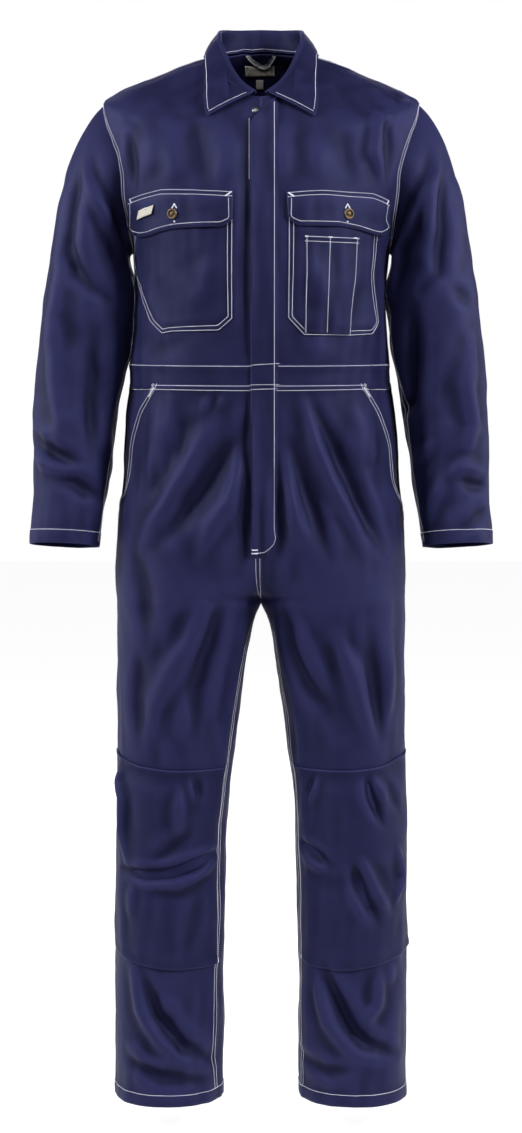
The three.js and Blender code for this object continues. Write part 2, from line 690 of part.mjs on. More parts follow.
// The fly cover from the collar to the crotch. Its top corner slopes and its foot is rounded.
function placket() {
  const middle = (PLACKET_FREE_EDGE + PLACKET_SEWN_EDGE) / 2;
  const topAt = (x) => PLACKET_TOP - 20 * smooth(-x, -2, -PLACKET_FREE_EDGE);
  const bottomAt = (x) => PLACKET_BOTTOM + 26 * smooth(x, 2, PLACKET_SEWN_EDGE) ** 2;
  const out = LIFT + EASE + PATCH;
  const columns = [PLACKET_FREE_EDGE, middle, PLACKET_SEWN_EDGE];
  const grid = steps(0, 1, 30).map((share) => columns.map((x) => (
    onBody(x, topAt(x) + (bottomAt(x) - topAt(x)) * share, out))));
  const shift = [0, -HALF_GAP, 0];
  const studPlace = onBody(-8, PLACKET_TOP - 14, out + LIFT);
  return [
    cloth('placket', grid, { thick: PATCH, shift }),
    seated('press_stud', pressStud(), studPlace, STEEL),
  ];
}

// Pocket for a knee pad across the front of the shin, from the outseam to the inseam
function kneePocket({ name, side }) {
  const place = (angle, key) => {
    const edges = KNEE_POCKET;
    const i = clamp(edges.findIndex((edge) => edge.angle >= angle), 1, edges.length - 1);
    const [from, to] = [edges[i - 1], edges[i]];
    return from[key] + ((to[key] - from[key]) * (angle - from.angle)) / (to.angle - from.angle);
  };
  const first = KNEE_POCKET[0].angle;
  const last = KNEE_POCKET[KNEE_POCKET.length - 1].angle;
  const grid = steps(0, 1, 10).map((share) => steps(first, last, 10).map((angle) => {
    const z = place(angle, 'top') * (1 - share) + place(angle, 'bottom') * share;
    const across = Math.sin(Math.PI * clamp((angle - first) / (last - first), 0, 1));
    const ledge = -KNEE_LEDGE_DEPTH * Math.exp(-(((share - 0.56) / 0.07) ** 2));
    const bulge = KNEE_BULGE + KNEE_BULGE * Math.sin(Math.PI * share);
    const height = Math.max(0, across * (bulge + ledge) * smooth(share, 0, 0.12));
    return leg.at(angle, leg.rowAt(angle, z), side, LIFT + EASE + PATCH + height);
  }));
  const shift = [side * HALF_GAP, -HALF_GAP, -SEAM_GAP];
  return cloth(`knee_pocket_${name}`, grid, { thick: PATCH, shift });
}

// Height of the collar's leaf over the shoulders, and how near the trunk it is held off by it
const LEAF_HEIGHT = 6.4;
const LEAF_REACH = 20;

// Moves a point of the collar's leaf off the yoke wherever it lies too low
function clearOfYoke(point, side) {
  let nearest = { distance: Infinity };
  for (const row of steps(TIP_ROW + 1, NECK_ROW, 12)) {
    for (const angle of steps(-90, 90, 36)) {
      const distance = trunk.at(angle, row, side).p.distanceTo(point);
      if (distance < nearest.distance) nearest = { angle, row, distance };
    }
  }
  const { p, n } = trunk.at(nearest.angle, nearest.row, side);
  const above = point.clone().sub(p).dot(n);
  if (nearest.distance < LEAF_REACH && above < LEAF_HEIGHT) {
    point.addScaledVector(n, LEAF_HEIGHT - above);
  }
  return point;
}

// Shirt collar in one folded strip: up the inside of the stand, over the fold and down the leaf
function collar() {
  const stations = steps(0, COLLAR.length - 1, 14);
  const profile = (station, side) => {
    const value = (key) => sample(COLLAR, key, station);
    const seam = trunk.at(value('seam'), NECK_ROW, side).p;
    seam.z += CLOTH + LIFT;
    const roll = new THREE.Vector3(side * value('rollX'), value('rollY'), value('rollZ'));
    const edge = trunk.at(value('edge'), value('row'), side, PATCH + LIFT + 1.4).p;
    const apart = edge.clone().sub(seam).setZ(0).normalize();
    const inward = roll.clone().addScaledVector(apart, -COLLAR_FOLD_RADIUS);
    const outward = roll.clone().addScaledVector(apart, COLLAR_FOLD_RADIUS);
    inward.z -= COLLAR_FOLD_RADIUS;
    outward.z -= COLLAR_FOLD_RADIUS;
    const leaf = [0.25, 0.5, 0.75].map((share) => clearOfYoke(
      outward.clone().lerp(edge, share).addScaledVector(apart, 3 * Math.sin(Math.PI * share)), side));
    return [seam, seam.clone().lerp(inward, 0.5), inward, roll, outward, ...leaf, edge];
  };
  const left = stations.map((station) => profile(station, 1));
  const right = stations.slice(1).map((station) => profile(station, -1)).reverse();
  return cloth('collar', withNormals([...right, ...left]), { thick: PATCH });
}

// Normals of a grid of points, from the neighbours of each
function withNormals(points) {
  const rows = points.length;
  const columns = points[0].length;
  return points.map((line, i) => line.map((p, j) => {
    const across = points[i][Math.min(j + 1, columns - 1)].clone().sub(points[i][Math.max(j - 1, 0)]);
    const along = points[Math.min(i + 1, rows - 1)][j].clone().sub(points[Math.max(i - 1, 0)][j]);
    return { p, n: along.cross(across).normalize() };
  }));
}

// Woven loop that hangs inside the back of the neck
function hangerLoop() {
  const width = 5;
  const inside = -(CLOTH + 3.8);
  const path = table('x z', [
    [-22, 14], [-17, 9], [-10, 4], [-3, 0], [4, -2], [11, 1], [16, 6], [21, 13],
  ]);
  const grid = path.map(({ x, z }, i) => {
    const from = path[Math.max(i - 1, 0)];
    const to = path[Math.min(i + 1, path.length - 1)];
    const length = Math.hypot(to.x - from.x, to.z - from.z);
    const [dx, dz] = [(-(to.z - from.z) / length) * (width / 2), ((to.x - from.x) / length) * (width / 2)];
    return [-1, 1].map((way) => {
      const point = onBody(x + way * dx, z + way * dz, inside, 'back');
      return { p: point.p, n: point.n.negate() };
    });
  });
  return cloth('hanger_loop', grid, { thick: TAPE, colour: WHITE_TAPE });
}

// Bare labels sewn inside the back of the neck, given by their middle and size
function neckLabels() {
  const inside = -(CLOTH + 1.9);
  const labels = table('name x z width height', [
    ['neck_label', -2, -8, 45, 14],
    ['size_label', -2, -26, 11, 13],
  ]);
  return labels.map(({ name, x, z, width, height }) => {
    const grid = steps(-height / 2, height / 2, 2).map((up) => steps(-width / 2, width / 2, 4)
      .map((across) => {
        const point = onBody(x + across, z + up, inside, 'back');
        return { p: point.p, n: point.n.negate() };
      }));
    return cloth(name, grid, { thick: TAPE, colour: PALE_LABEL });
  });
}

const suit = new THREE.Group();
suit.add(...SIDES.map(bodiceFront), bodiceBack(), ...waistband(), ...SIDES.flatMap(legPanels),
  ...SIDES.map(hipFacing), ...SIDES.map(sleeve), collar(), ...placket(), ...chestPieces(),
  ...SIDES.map(kneePocket), hangerLoop(), ...neckLabels());
export default suit;
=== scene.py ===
"""Navy work boiler suit with white top stitching, worn shape and empty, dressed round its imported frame.

Sizes are in millimetres in the frame's axes: the front faces -Y and the wearer's left is +X. Meshes
are turned to metres as they are made.
"""
import logging
import math
from collections.abc import Callable
from dataclasses import dataclass
from enum import Enum

import bpy
import numpy as np
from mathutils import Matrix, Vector
from mathutils.kdtree import KDTree


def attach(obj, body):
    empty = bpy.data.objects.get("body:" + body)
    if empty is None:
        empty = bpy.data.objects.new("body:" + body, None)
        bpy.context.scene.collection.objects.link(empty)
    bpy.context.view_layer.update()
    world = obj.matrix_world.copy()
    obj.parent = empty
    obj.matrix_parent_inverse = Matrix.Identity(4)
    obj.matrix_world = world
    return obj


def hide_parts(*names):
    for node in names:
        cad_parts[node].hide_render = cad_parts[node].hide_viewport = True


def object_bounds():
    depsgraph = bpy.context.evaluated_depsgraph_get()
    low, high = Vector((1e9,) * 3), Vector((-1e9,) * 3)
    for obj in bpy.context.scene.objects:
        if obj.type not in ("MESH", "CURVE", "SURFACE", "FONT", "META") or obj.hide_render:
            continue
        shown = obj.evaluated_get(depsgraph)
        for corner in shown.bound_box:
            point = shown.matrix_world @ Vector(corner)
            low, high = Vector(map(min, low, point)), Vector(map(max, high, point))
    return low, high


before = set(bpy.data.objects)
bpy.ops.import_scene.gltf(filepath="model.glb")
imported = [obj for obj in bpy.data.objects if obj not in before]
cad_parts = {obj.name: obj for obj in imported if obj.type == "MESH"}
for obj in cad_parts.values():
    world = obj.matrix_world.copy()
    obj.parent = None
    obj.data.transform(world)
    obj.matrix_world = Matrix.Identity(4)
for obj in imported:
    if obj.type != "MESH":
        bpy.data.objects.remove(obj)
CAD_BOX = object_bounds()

Array = np.ndarray
Path = tuple[tuple[float, ...], ...]
LOG = logging.getLogger("boiler_suit")
MM = 0.001

CLOTH_THICKNESS = 0.9
PATCH_THICKNESS = 1.3
TAPE_THICKNESS = 0.8
GRID_STEP = 4.6
SEAM_ALLOWANCE = 8.0
ALLOWANCE_SHARE = 0.05
NARROWEST = 10.2
FOLD_SCALE = 2.1
FULL_FOLD = 120.0
SHORTEST_FOLD = 0.4
FOLD_REACH = 3.2
FOLD_LOBES = 0.2
RELIEF_REACH = 5
SEARCH_STEPS = 36
UNDERLAP = 1.4
SEAM_END = 0.985


# Tables
class SizeTable:
    """Columns of sizes given row by row, read between rows on a curve that never overshoots."""

    def __init__(self, names: str, rows: list[list[float]]) -> None:
        """Keeps the columns.

        Args:
            names: The columns' names, parted by spaces.
            rows: One list of sizes for each row.
        """
        self.columns = dict(zip(names.split(), np.array(rows, float).T))
        self.last = len(rows) - 1

    def read(self, name: str, place: Array | float) -> Array:
        """Reads a column at fractional rows.

        Args:
            name: The column.
            place: Row numbers, whole or fractional.

        Returns:
            The sizes there.
        """
        values = self.columns[name]
        steps = np.diff(values)
        slopes = np.empty_like(values)
        slopes[0], slopes[-1] = steps[0], steps[-1]
        before, after = steps[:-1], steps[1:]
        total = np.where(before + after == 0, 1, before + after)
        slopes[1:-1] = np.where(before * after > 0, 2 * before * after / total, 0)
        place = np.asarray(place, float)
        i = np.clip(np.floor(place).astype(int), 0, self.last - 1)
        t = place - i
        t2, t3 = t * t, t * t * t
        return (values[i] * (2 * t3 - 3 * t2 + 1) + slopes[i] * (t3 - 2 * t2 + t)
                + values[i + 1] * (3 * t2 - 2 * t3) + slopes[i + 1] * (t3 - t2))


TRUNK = SizeTable("front side back outer edge frontDepth backDepth frontSpan backSpan full slit extra", [
    [-492, -487, -486, 190, 0, 131, 124, 90, 90, 2.3, 190, 6],
    [-460, -454, -452, 188, 0, 134, 125, 90, 90, 2.3, 188, 8],
    [-425, -421, -420, 186, 0, 138, 128, 90, 90, 2.35, 186, 5],
    [-390, -388, -388, 184.5, 0, 143, 132, 90, 90, 2.4, 184.5, 3.5],
    [-354, -354, -354, 184, 0, 147, 136, 90, 90, 2.4, 184, 2],
    [-322, -322, -322, 185, 0, 149, 138, 90, 90, 2.4, 185, 0.5],
    [-292, -292, -292, 188, 0, 150, 140, 90, 90, 2.4, 188, 0],
    [-272, -272, -272, 194, 0, 150, 141, 90, 90, 2.4, 191.5, 0],
    [-247, -245, -245, 202, 0, 149.5, 141, 90, 90, 2.4, 196, 0],
    [-221, -214, -215, 211, 0, 148, 141, 90, 90, 2.4, 199, 0],
    [-198, -183, -185, 218.5, 0, 145, 140, 90, 90, 2.4, 200.5, 0],
    [-178, -152, -155, 225, 0, 141, 137, 90, 90, 2.4, 205.5, 0],
    [-158, -124, -128, 229.5, 0, 136, 134, 90, 90, 2.35, 214, 0],
    [-141, -97, -104, 232.5, 0, 130, 129, 90, 90, 2.3, 224.5, 0],
    [-127, -71, -81, 232, 0, 125, 124, 90, 90, 2.25, 232, 0],
    [-114, -57, -58, 211, 0, 120, 116, 90, 90, 2.2, 211, 0],
    [-103, -40, -35, 172, 0, 115.5, 105, 90, 90, 2.15, 172, 0],
    [-90, -22, -11, 130, 0, 110, 90, 90, 90, 2.05, 130, 0],
    [-77, -2, 14, 76, 0, 105, 70, 90, 90, 2, 76, 0],
])
WAIST_TOP_ROW = 1
ARMPIT_ROW = 6
TIP_ROW = 14
NECK_ROW = 18

LEG = SizeTable("front side back outer edge frontDepth backDepth frontSpan backSpan full slit extra", [
    [-492, -487, -486, 190, 0, 131, 124, 90, 90, 2.3, 151, 6],
    [-535, -532, -531, 198, 0, 130, 129, 90, 91, 2.3, 177, 4],
    [-580, -578, -578, 203, 0, 128, 133, 91, 93, 2.3, 191, 1],
    [-625, -625, -625, 206.5, 0, 126, 134, 94, 98, 2.3, 196.5, 0],
    [-667, -667, -667, 211, 0, 124, 132, 98, 106, 2.3, 211, 0],
    [-702, -702, -702, 213.5, 0, 122, 129, 104, 118, 2.3, 213.5, 0],
    [-735, -735, -735, 215.5, 0, 119, 125, 114, 136, 2.3, 215.5, 0],
    [-768, -768, -768, 216, 0, 116, 120, 131, 155, 2.3, 216, 0],
    [-791, -791, -791, 215.5, 0, 113, 116, 152, 169, 2.3, 215.5, 0],
    [-806, -806, -806, 215, 0, 111, 114, 180, 180, 2.3, 215, 0],
    [-828, -828, -828, 215, 9, 108, 111, 172, 188, 2.3, 215, 0],
    [-868, -868, -868, 215, 20, 104, 108, 167, 193, 2.3, 215, 0],
    [-915, -915, -915, 215, 28, 100, 105, 165, 195, 2.3, 215, 0],
    [-975, -975, -975, 215, 36, 95, 102, 165, 195, 2.25, 215, 0],
    [-1030, -1030, -1030, 216, 42.5, 91, 99, 165, 195, 2.2, 216, 0],
    [-1085, -1085, -1085, 216.5, 50, 88, 96, 165, 195, 2.2, 216.5, 0],
    [-1145, -1145, -1145, 217, 53.5, 86, 93, 165, 195, 2.2, 217, 0],
    [-1205, -1205, -1205, 218, 55.5, 84, 91, 165, 195, 2.2, 218, 0],
    [-1265, -1265, -1265, 219, 56.5, 82, 91, 165, 195, 2.2, 219, 0],
    [-1325, -1325, -1325, 220, 58, 80, 91, 165, 195, 2.2, 220, 0],
    [-1385, -1385, -1385, 220.5, 59.5, 79, 90, 165, 195, 2.2, 220.5, 0],
    [-1445, -1445, -1445, 219.5, 59.5, 78, 88, 165, 195, 2.2, 219.5, 0],
    [-1505, -1505, -1506, 219.5, 61, 78, 86, 165, 195, 2.2, 219.5, 0],
    [-1558, -1557, -1562, 220, 61.5, 78, 85, 165, 195, 2.2, 220, 0],
])
POCKET_END_ROW = 4
CROTCH_ROW = 9
HEM_ROW = 23

SLEEVE = SizeTable("x y z halfWidth halfDepth turn lean", [
    [251.5, 2, -322, 63.5, 79, 0.27, 0],
    [255.5, 2, -366, 67.5, 78, 0.16, 0],
    [260.5, 2, -415, 68.5, 75, 0.11, 0.02],
    [268, 0, -465, 66, 73, 0.1, 0.05],
    [274.5, -3, -515, 63, 71, 0.09, 0.08],
    [278.5, -8, -562, 61, 68, 0.08, 0.1],
    [281.5, -14, -610, 58, 63, 0.07, 0.12],
    [285, -22, -658, 54.5, 57, 0.06, 0.13],
    [289, -30, -700, 52, 52, 0.05, 0.13],
    [291, -34, -723, 51, 49, 0.04, 0.12],
])
CUFF_ROW = 9
SLEEVE_PRESS = 4.5
PARTING = {1: -345.0, -1: -432.0}

COLLAR = SizeTable("seam rollX rollY rollZ edge row", [
    [-90, 0, 77, 51, -90, 17.35],
    [-60, 31, 70, 49, -62, 17.4],
    [-30, 53, 46, 45, -34, 17.65],
    [-8, 61, 20, 39, -8, 17.84],
    [10, 61, -10, 24, 10, 17.86],
    [32, 54, -39, 0, 28.5, 17.7],
    [52, 42, -66, -30, 47, 17.25],
    [68, 27, -90, -53, 60.5, 16.35],
    [84, 9, -109.5, -69, 70.6, 15.15],
])

KNEE_POCKET = SizeTable("angle top bottom", [
    [3, -1030, -1322],
    [30, -1036, -1332],
    [60, -1046, -1342],
    [100, -1051, -1350],
    [135, -1051, -1349],
    [158, -1050, -1342],
])


def smooth(value: Array | float, low: float, high: float) -> Array:
    """Rises from 0 at low to 1 at high, softly at both ends."""
    t = np.clip((np.asarray(value, float) - low) / (high - low), 0, 1)
    return t * t * (3 - 2 * t)


def power(value: Array, exponent: Array | float) -> Array:
    """Raises to a power and keeps the sign."""
    return np.sign(value) * np.abs(value) ** exponent


def unit(vectors: Array) -> Array:
    """Scales vectors in the last axis to length 1."""
    length = np.linalg.norm(vectors, axis=-1, keepdims=True)
    return vectors / np.maximum(length, 1e-9)


# Folds
class Face(Enum):
    """Which half of the suit a fold lies on."""

    FRONT = "front"
    BACK = "back"


@dataclass(frozen=True)
class Crease:
    """A soft trough or ridge laid on the cloth between points of the front or back.

    Attributes:
        face: The half it lies on.
        side: 1 for the wearer's left, -1 for the right, 0 for both.
        path: x and z of its points, x taken from the middle outwards.
        width: Distance at which it has sunk to about a third.
        depth: Height at its middle, under zero for a trough.
    """

    face: Face
    side: int
    path: Path
    width: float
    depth: float


def creases(face: Face, rows: list[tuple]) -> list[Crease]:
    """Makes folds from short rows of side, width, depth and points."""
    return [Crease(face, side, tuple(path), width, depth) for side, width, depth, *path in rows]


CHEST_CREASES = creases(Face.FRONT, [
    (-1, 7, -3, (21, -116), (20, -220), (22, -330), (20, -450)),
    (-1, 8, -5, (188, -129), (185, -171), (182, -210)),
    (-1, 8, 4, (192, -103), (196, -136)),
    (-1, 12, 4, (164, -112), (158, -157), (160, -199)),
    (-1, 16, 3.5, (137, -101), (130, -157), (127, -206)),
    (-1, 14, -3, (101, -108), (90, -157), (80, -206)),
    (-1, 14, 3, (56, -120), (48, -165), (52, -205)),
    (1, 8, 5, (168, -94), (162, -157), (174, -196)),
    (1, 7, -5, (178, -101), (182, -192)),
    (1, 7, -3, (191, -129), (191, -178)),
    (1, 14, 3.5, (76, -122), (80, -199)),
    (1, 12, -3, (118, -115), (126, -199)),
    (1, 12, 3, (35, -108), (32, -199)),
    (-1, 13, -3, (110, -425), (150, -440)),
    (1, 13, 3, (60, -425), (110, -445)),
    (0, 16, -3, (150, -330), (120, -420)),
    (0, 14, 3, (60, -300), (95, -380)),
])

HIP_CREASES = creases(Face.FRONT, [
    (-1, 7, -4, (20, -505), (20, -600), (21, -700), (17, -745)),
    (-1, 14, 5, (64, -541), (91, -571), (110, -613), (132, -651), (158, -689), (174, -728)),
    (-1, 14, -6, (25, -550), (52, -591), (75, -624), (103, -662), (132, -704)),
    (-1, 10, 4, (31, -607), (47, -656), (70, -689), (91, -740)),
    (-1, 9, -4, (22, -668), (28, -756)),
    (-1, 18, 4, (140, -510), (146, -591), (163, -634)),
    (-1, 6, 2.5, (70, -503), (85, -528)),
    (-1, 6, -2.5, (61, -503), (74, -527)),
    (-1, 6, 2.5, (52, -503), (64, -525)),
    (-1, 14, -4, (185, -728), (169, -797), (165, -857)),
    (1, 16, 4, (134, -510), (147, -567), (162, -604)),
    (1, 12, -5, (79, -528), (112, -596), (137, -651), (162, -695), (179, -728)),
    (1, 10, 5, (59, -508), (79, -571), (107, -634), (137, -690), (148, -728)),
    (1, 10, -4.5, (43, -567), (63, -634), (84, -695), (99, -740)),
    (1, 8, 4, (38, -624), (52, -689), (60, -725)),
    (1, 8, -4, (24, -591), (28, -682), (30, -756)),
    (1, 7, 3, (32, -718), (34, -797)),
])

THIGH_CREASES = creases(Face.FRONT, [
    (-1, 12, 4, (72, -784), (99, -859), (134, -905), (154, -957), (154, -1009)),
    (-1, 12, -4, (54, -799), (76, -870), (94, -929), (97, -996)),
    (-1, 10, -3, (177, -872), (183, -945), (177, -1011)),
    (-1, 10, 3, (116, -945), (122, -1011)),
    (1, 12, -4, (30, -799), (41, -870), (67, -920), (96, -957), (113, -996)),
    (1, 10, 4, (56, -827), (70, -885), (88, -930)),
    (1, 11, 4, (110, -850), (133, -905), (151, -969), (162, -1011)),
    (1, 10, -3.5, (159, -842), (168, -929), (177, -1003)),
    (1, 9, 3, (191, -857), (187, -930), (181, -989)),
    (1, 8, -3, (99, -857), (108, -930)),
])

SHIN_CREASES = creases(Face.FRONT, [
    (-1, 9, 5, (193, -1338), (177, -1410), (151, -1454), (112, -1497)),
    (-1, 10, -6, (171, -1372), (153, -1422), (118, -1464), (73, -1494)),
    (-1, 9, 4, (153, -1413), (118, -1399)),
    (-1, 9, -5, (195, -1491), (151, -1513), (82, -1520)),
    (-1, 9, 4, (202, -1463), (165, -1488)),
    (1, 10, -7, (95, -1347), (110, -1393), (130, -1433), (155, -1461), (203, -1485)),
    (1, 8, 5, (177, -1353), (173, -1404), (146, -1440)),
    (1, 7, 4, (195, -1341), (192, -1380)),
    (1, 9, 4, (84, -1372), (102, -1433), (134, -1479)),
    (1, 8, -4, (60, -1485), (102, -1507), (134, -1500)),
])

BACK_CREASES = creases(Face.BACK, [
    (0, 13, -5, (178, -190), (150, -260), (120, -330)),
    (-1, 12, 4, (196, -230), (160, -300)),
    (1, 12, 4, (190, -205), (150, -285)),
    (-1, 15, -5, (60, -300), (130, -400)),
    (1, 15, -5, (40, -320), (120, -425)),
    (0, 14, 4, (20, -350), (70, -440)),
    (0, 14, 3, (60, -120), (70, -210)),
    (0, 13, -3, (110, -130), (120, -220)),
    (0, 9, 3, (60, -500), (66, -535)),
    (0, 9, -3, (80, -500), (88, -540)),
    (-1, 15, -5, (30, -560), (110, -640)),
    (1, 15, -5, (45, -575), (130, -655)),
    (0, 13, 4, (140, -520), (160, -600)),
    (-1, 13, -7, (30, -735), (90, -775), (150, -790)),
    (1, 13, -7, (30, -725), (100, -780), (165, -785)),
    (0, 13, 5, (35, -770), (95, -815), (160, -830)),
    (0, 14, -5, (50, -850), (120, -895), (190, -900)),
    (0, 13, 4, (90, -930), (130, -1010)),
    (-1, 11, -7, (70, -1095), (130, -1110), (195, -1100)),
    (1, 11, -7, (75, -1105), (140, -1115), (200, -1092)),
    (0, 11, 5, (75, -1128), (135, -1140), (195, -1125)),
    (-1, 12, -6, (75, -1165), (130, -1160), (195, -1175)),
    (1, 12, -6, (80, -1170), (140, -1158), (195, -1165)),
    (0, 12, 5, (90, -1200), (190, -1195)),
    (0, 13, -5, (85, -1235), (150, -1260), (195, -1255)),
    (0, 12, 4, (110, -1300), (130, -1390)),
    (-1, 12, -5, (85, -1420), (150, -1450), (195, -1440)),
    (1, 12, -5, (85, -1405), (140, -1445), (195, -1455)),
    (0, 11, 5, (85, -1465), (150, -1480), (200, -1465)),
    (0, 11, -4, (80, -1505), (150, -1515)),
])

BODY_CREASES = CHEST_CREASES + HIP_CREASES + THIGH_CREASES + SHIN_CREASES + BACK_CREASES

KNEE_CREASES = creases(Face.FRONT, [
    (-1, 5, 4, (108, -1053), (100, -1103)),
    (-1, 5, -4, (98, -1053), (92, -1094)),
    (-1, 8, 5, (118, -1076), (123, -1150)),
    (-1, 6, 5, (203, -1032), (205, -1072), (199, -1098), (200, -1143), (195, -1188)),
    (-1, 9, -4, (108, -1140), (134, -1168), (164, -1196)),
    (-1, 7, -7, (202, -1201), (167, -1207), (132, -1204), (108, -1196), (87, -1187), (64, -1177)),
    (-1, 8, 4, (164, -1219), (120, -1217), (79, -1201)),
    (-1, 6, 4, (187, -1220), (191, -1274)),
    (-1, 9, -3, (90, -1230), (110, -1320)),
    (1, 5, 4, (86, -1054), (76, -1106)),
    (1, 5, -4, (79, -1054), (69, -1094)),
    (1, 6, -6, (153, -1054), (162, -1094), (175, -1132)),
    (1, 7, 5, (162, -1061), (178, -1101)),
    (1, 7, -7, (61, -1162), (86, -1181), (105, -1192)),
    (1, 8, 4, (74, -1186), (101, -1201)),
    (1, 8, -5, (133, -1186), (154, -1242), (171, -1280)),
    (1, 8, 5, (145, -1180), (168, -1235), (186, -1265)),
    (1, 6, 5, (196, -1168), (206, -1214), (196, -1251)),
    (1, 6, -4, (182, -1064), (200, -1116)),
])

SLEEVE_CREASES = creases(Face.FRONT, [
    (-1, 9, 6, (248, -132), (255, -159), (238, -206), (220, -254), (207, -297)),
    (-1, 8, -7, (239, -138), (242, -171), (229, -206), (218, -225), (204, -232)),
    (-1, 9, 4, (220, -144), (222, -161), (211, -189)),
    (-1, 10, -6, (257, -145), (270, -189), (279, -241), (282, -284), (269, -321), (247, -349), (221, -366)),
    (-1, 14, 6, (297, -284), (297, -327), (302, -392), (302, -465), (295, -523), (283, -567)),
    (-1, 9, -7, (336, -556), (300, -589), (268, -601)),
    (-1, 9, 5, (330, -589), (298, -611)),
    (-1, 9, -7, (298, -623), (268, -632), (240, -653)),
    (-1, 13, -5, (242, -407), (248, -509), (245, -582)),
    (1, 8, 5, (231, -128), (229, -142), (223, -171)),
    (1, 8, 5, (246, -125), (253, -142), (256, -171), (249, -206), (245, -241), (243, -284)),
    (1, 8, -7, (242, -130), (238, -159), (223, -197), (208, -232), (197, -251)),
    (1, 8, 6, (256, -184), (234, -202), (217, -241), (204, -284), (197, -327), (195, -360)),
    (1, 10, -5, (262, -150), (262, -206), (264, -262), (257, -327), (231, -352)),
    (1, 9, -6, (311, -369), (281, -347)),
    (1, 10, -5, (221, -378), (221, -509), (212, -526)),
    (1, 12, 6, (312, -407), (302, -488), (308, -544), (300, -589)),
    (1, 8, 5, (273, -621), (286, -610), (295, -606), (331, -620)),
    (1, 8, -6, (292, -623), (313, -632), (330, -640)),
    (1, 8, -6, (289, -703), (330, -664)),
    (1, 8, 4, (256, -567), (228, -599)),
    (1, 8, 4, (263, -617), (247, -692)),
]) + creases(Face.BACK, [
    (0, 12, -5, (235, -200), (300, -290)),
    (0, 12, 5, (220, -250), (290, -350)),
    (0, 14, -5, (235, -330), (300, -400)),
    (-1, 12, -6, (240, -430), (325, -470)),
    (1, 12, -6, (235, -445), (322, -462)),
    (0, 11, 5, (245, -478), (325, -492)),
    (-1, 11, -6, (250, -520), (325, -515)),
    (1, 11, -6, (250, -512), (328, -532)),
    (0, 11, 5, (250, -545), (325, -552)),
    (0, 12, -5, (255, -590), (330, -580)),
    (0, 12, 4, (262, -640), (320, -660)),
])


class Ripple:
    """Soft unevenness of worn cloth: a sum of seeded plane waves through space."""

    def __init__(self, seed: int, shortest: float, longest: float, height: float, rise: float = 0.8,
                 count: int = 18) -> None:
        """Draws the waves.

        Args:
            seed: Fixed seed of the draws.
            shortest: Shortest wavelength.
            longest: Longest wavelength.
            height: About the largest height.
            rise: Share of the upward direction in the waves, small for streaks that run down.
            count: Number of waves.
        """
        draw = np.random.default_rng(seed)
        self.ways = unit(draw.normal(size=(count, 3)) * [1, 1, rise])
        self.lengths = np.exp(draw.uniform(np.log(shortest), np.log(longest), count))
        self.phases = draw.uniform(0, 2 * math.pi, count)
        self.scale = height / math.sqrt(count)

    def height(self, points: Array) -> Array:
        """Gives the height at points of shape (..., 3)."""
        total = np.zeros(points.shape[:-1])
        for way, length, phase in zip(self.ways, self.lengths, self.phases):
            total += np.sin(points @ way * (2 * math.pi / length) + phase)
        return total * self.scale


STREAKS = Ripple(13, 17, 46, 0.75, rise=0.1)
STREAK_PATCHES = Ripple(14, 90, 300, 1.0)


def streaks(points: Array) -> Array:
    """Gives the height of fine streaks that run down the cloth in patches."""
    return STREAKS.height(points) * smooth(STREAK_PATCHES.height(points), -0.7, 0.9)


class CreaseField:
    """Folds found in space, ready to give the height at any point near them."""

    def __init__(self, folds: list[tuple[Crease, Array]]) -> None:
        """Keeps each fold with its points in space, shape (n, 3)."""
        self.folds = folds

    @classmethod
    def find(cls, folds: list[Crease], side: int,
             locate: Callable[[Array, Array, Face], Array]) -> "CreaseField":
        """Places the folds of one side in space.

        Args:
            folds: All the folds.
            side: 1 for the wearer's left and -1 for the right.
            locate: Finds points in space at an x and z of a face.

        Returns:
            The field.
        """
        paths = [(crease, np.array(crease.path, float)) for crease in folds if crease.side != -side]
        return cls([(crease, locate(path[:, 0], path[:, 1], crease.face)) for crease, path in paths])

    def height(self, points: Array) -> Array:
        """Sums the folds at points of shape (..., 3)."""
        total = np.zeros(points.shape[:-1])
        for crease, line in self.folds:
            reach = crease.width * FOLD_REACH
            low, high = line.min(0) - reach, line.max(0) + reach
            near = np.all((points > low) & (points < high), axis=-1)
            if not near.any():
                continue
            spots = points[near]
            nearest, place = np.full(len(spots), np.inf), np.zeros(len(spots))
            lengths = arc(line, 0)
            for number, (start, end) in enumerate(zip(line[:-1], line[1:])):
                along = end - start
                t = np.clip((spots - start) @ along / max(along @ along, 1e-6), 0, 1)
                gap = np.linalg.norm(spots - (start + t[:, None] * along), axis=1)
                reached = lengths[number] + t * (lengths[number + 1] - lengths[number])
                place = np.where(gap < nearest, reached, place)
                nearest = np.minimum(nearest, gap)
            share = place / max(lengths[-1], 1e-6)
            ratio = nearest / crease.width / (0.75 + 0.5 * np.sin(math.pi * share))
            shape = np.exp(-ratio ** 2) - FOLD_LOBES * np.exp(-((ratio - 2.0) / 0.9) ** 2)
            shape = shape * smooth(share, -0.12, 0.4) * smooth(1 - share, -0.12, 0.4)
            strength = FOLD_SCALE * min(1.0, max(SHORTEST_FOLD, lengths[-1] / FULL_FOLD))
            total[near] += strength * crease.depth * shape
        return total


# Forms
def last_true(test: Callable[[Array], Array], like: Array, last: float) -> Array:
    """Finds by halving the rows at which a test stops being true.

    Args:
        test: Gives true or false for an array of rows.
        like: An array of the wanted shape.
        last: The last row.

    Returns:
        The rows.
    """
    low, high = np.zeros_like(like), np.full_like(like, last)
    for _ in range(SEARCH_STEPS):
        middle = (low + high) / 2
        passed = test(middle)
        low = np.where(passed, middle, low)
        high = np.where(passed, high, middle)
    return low


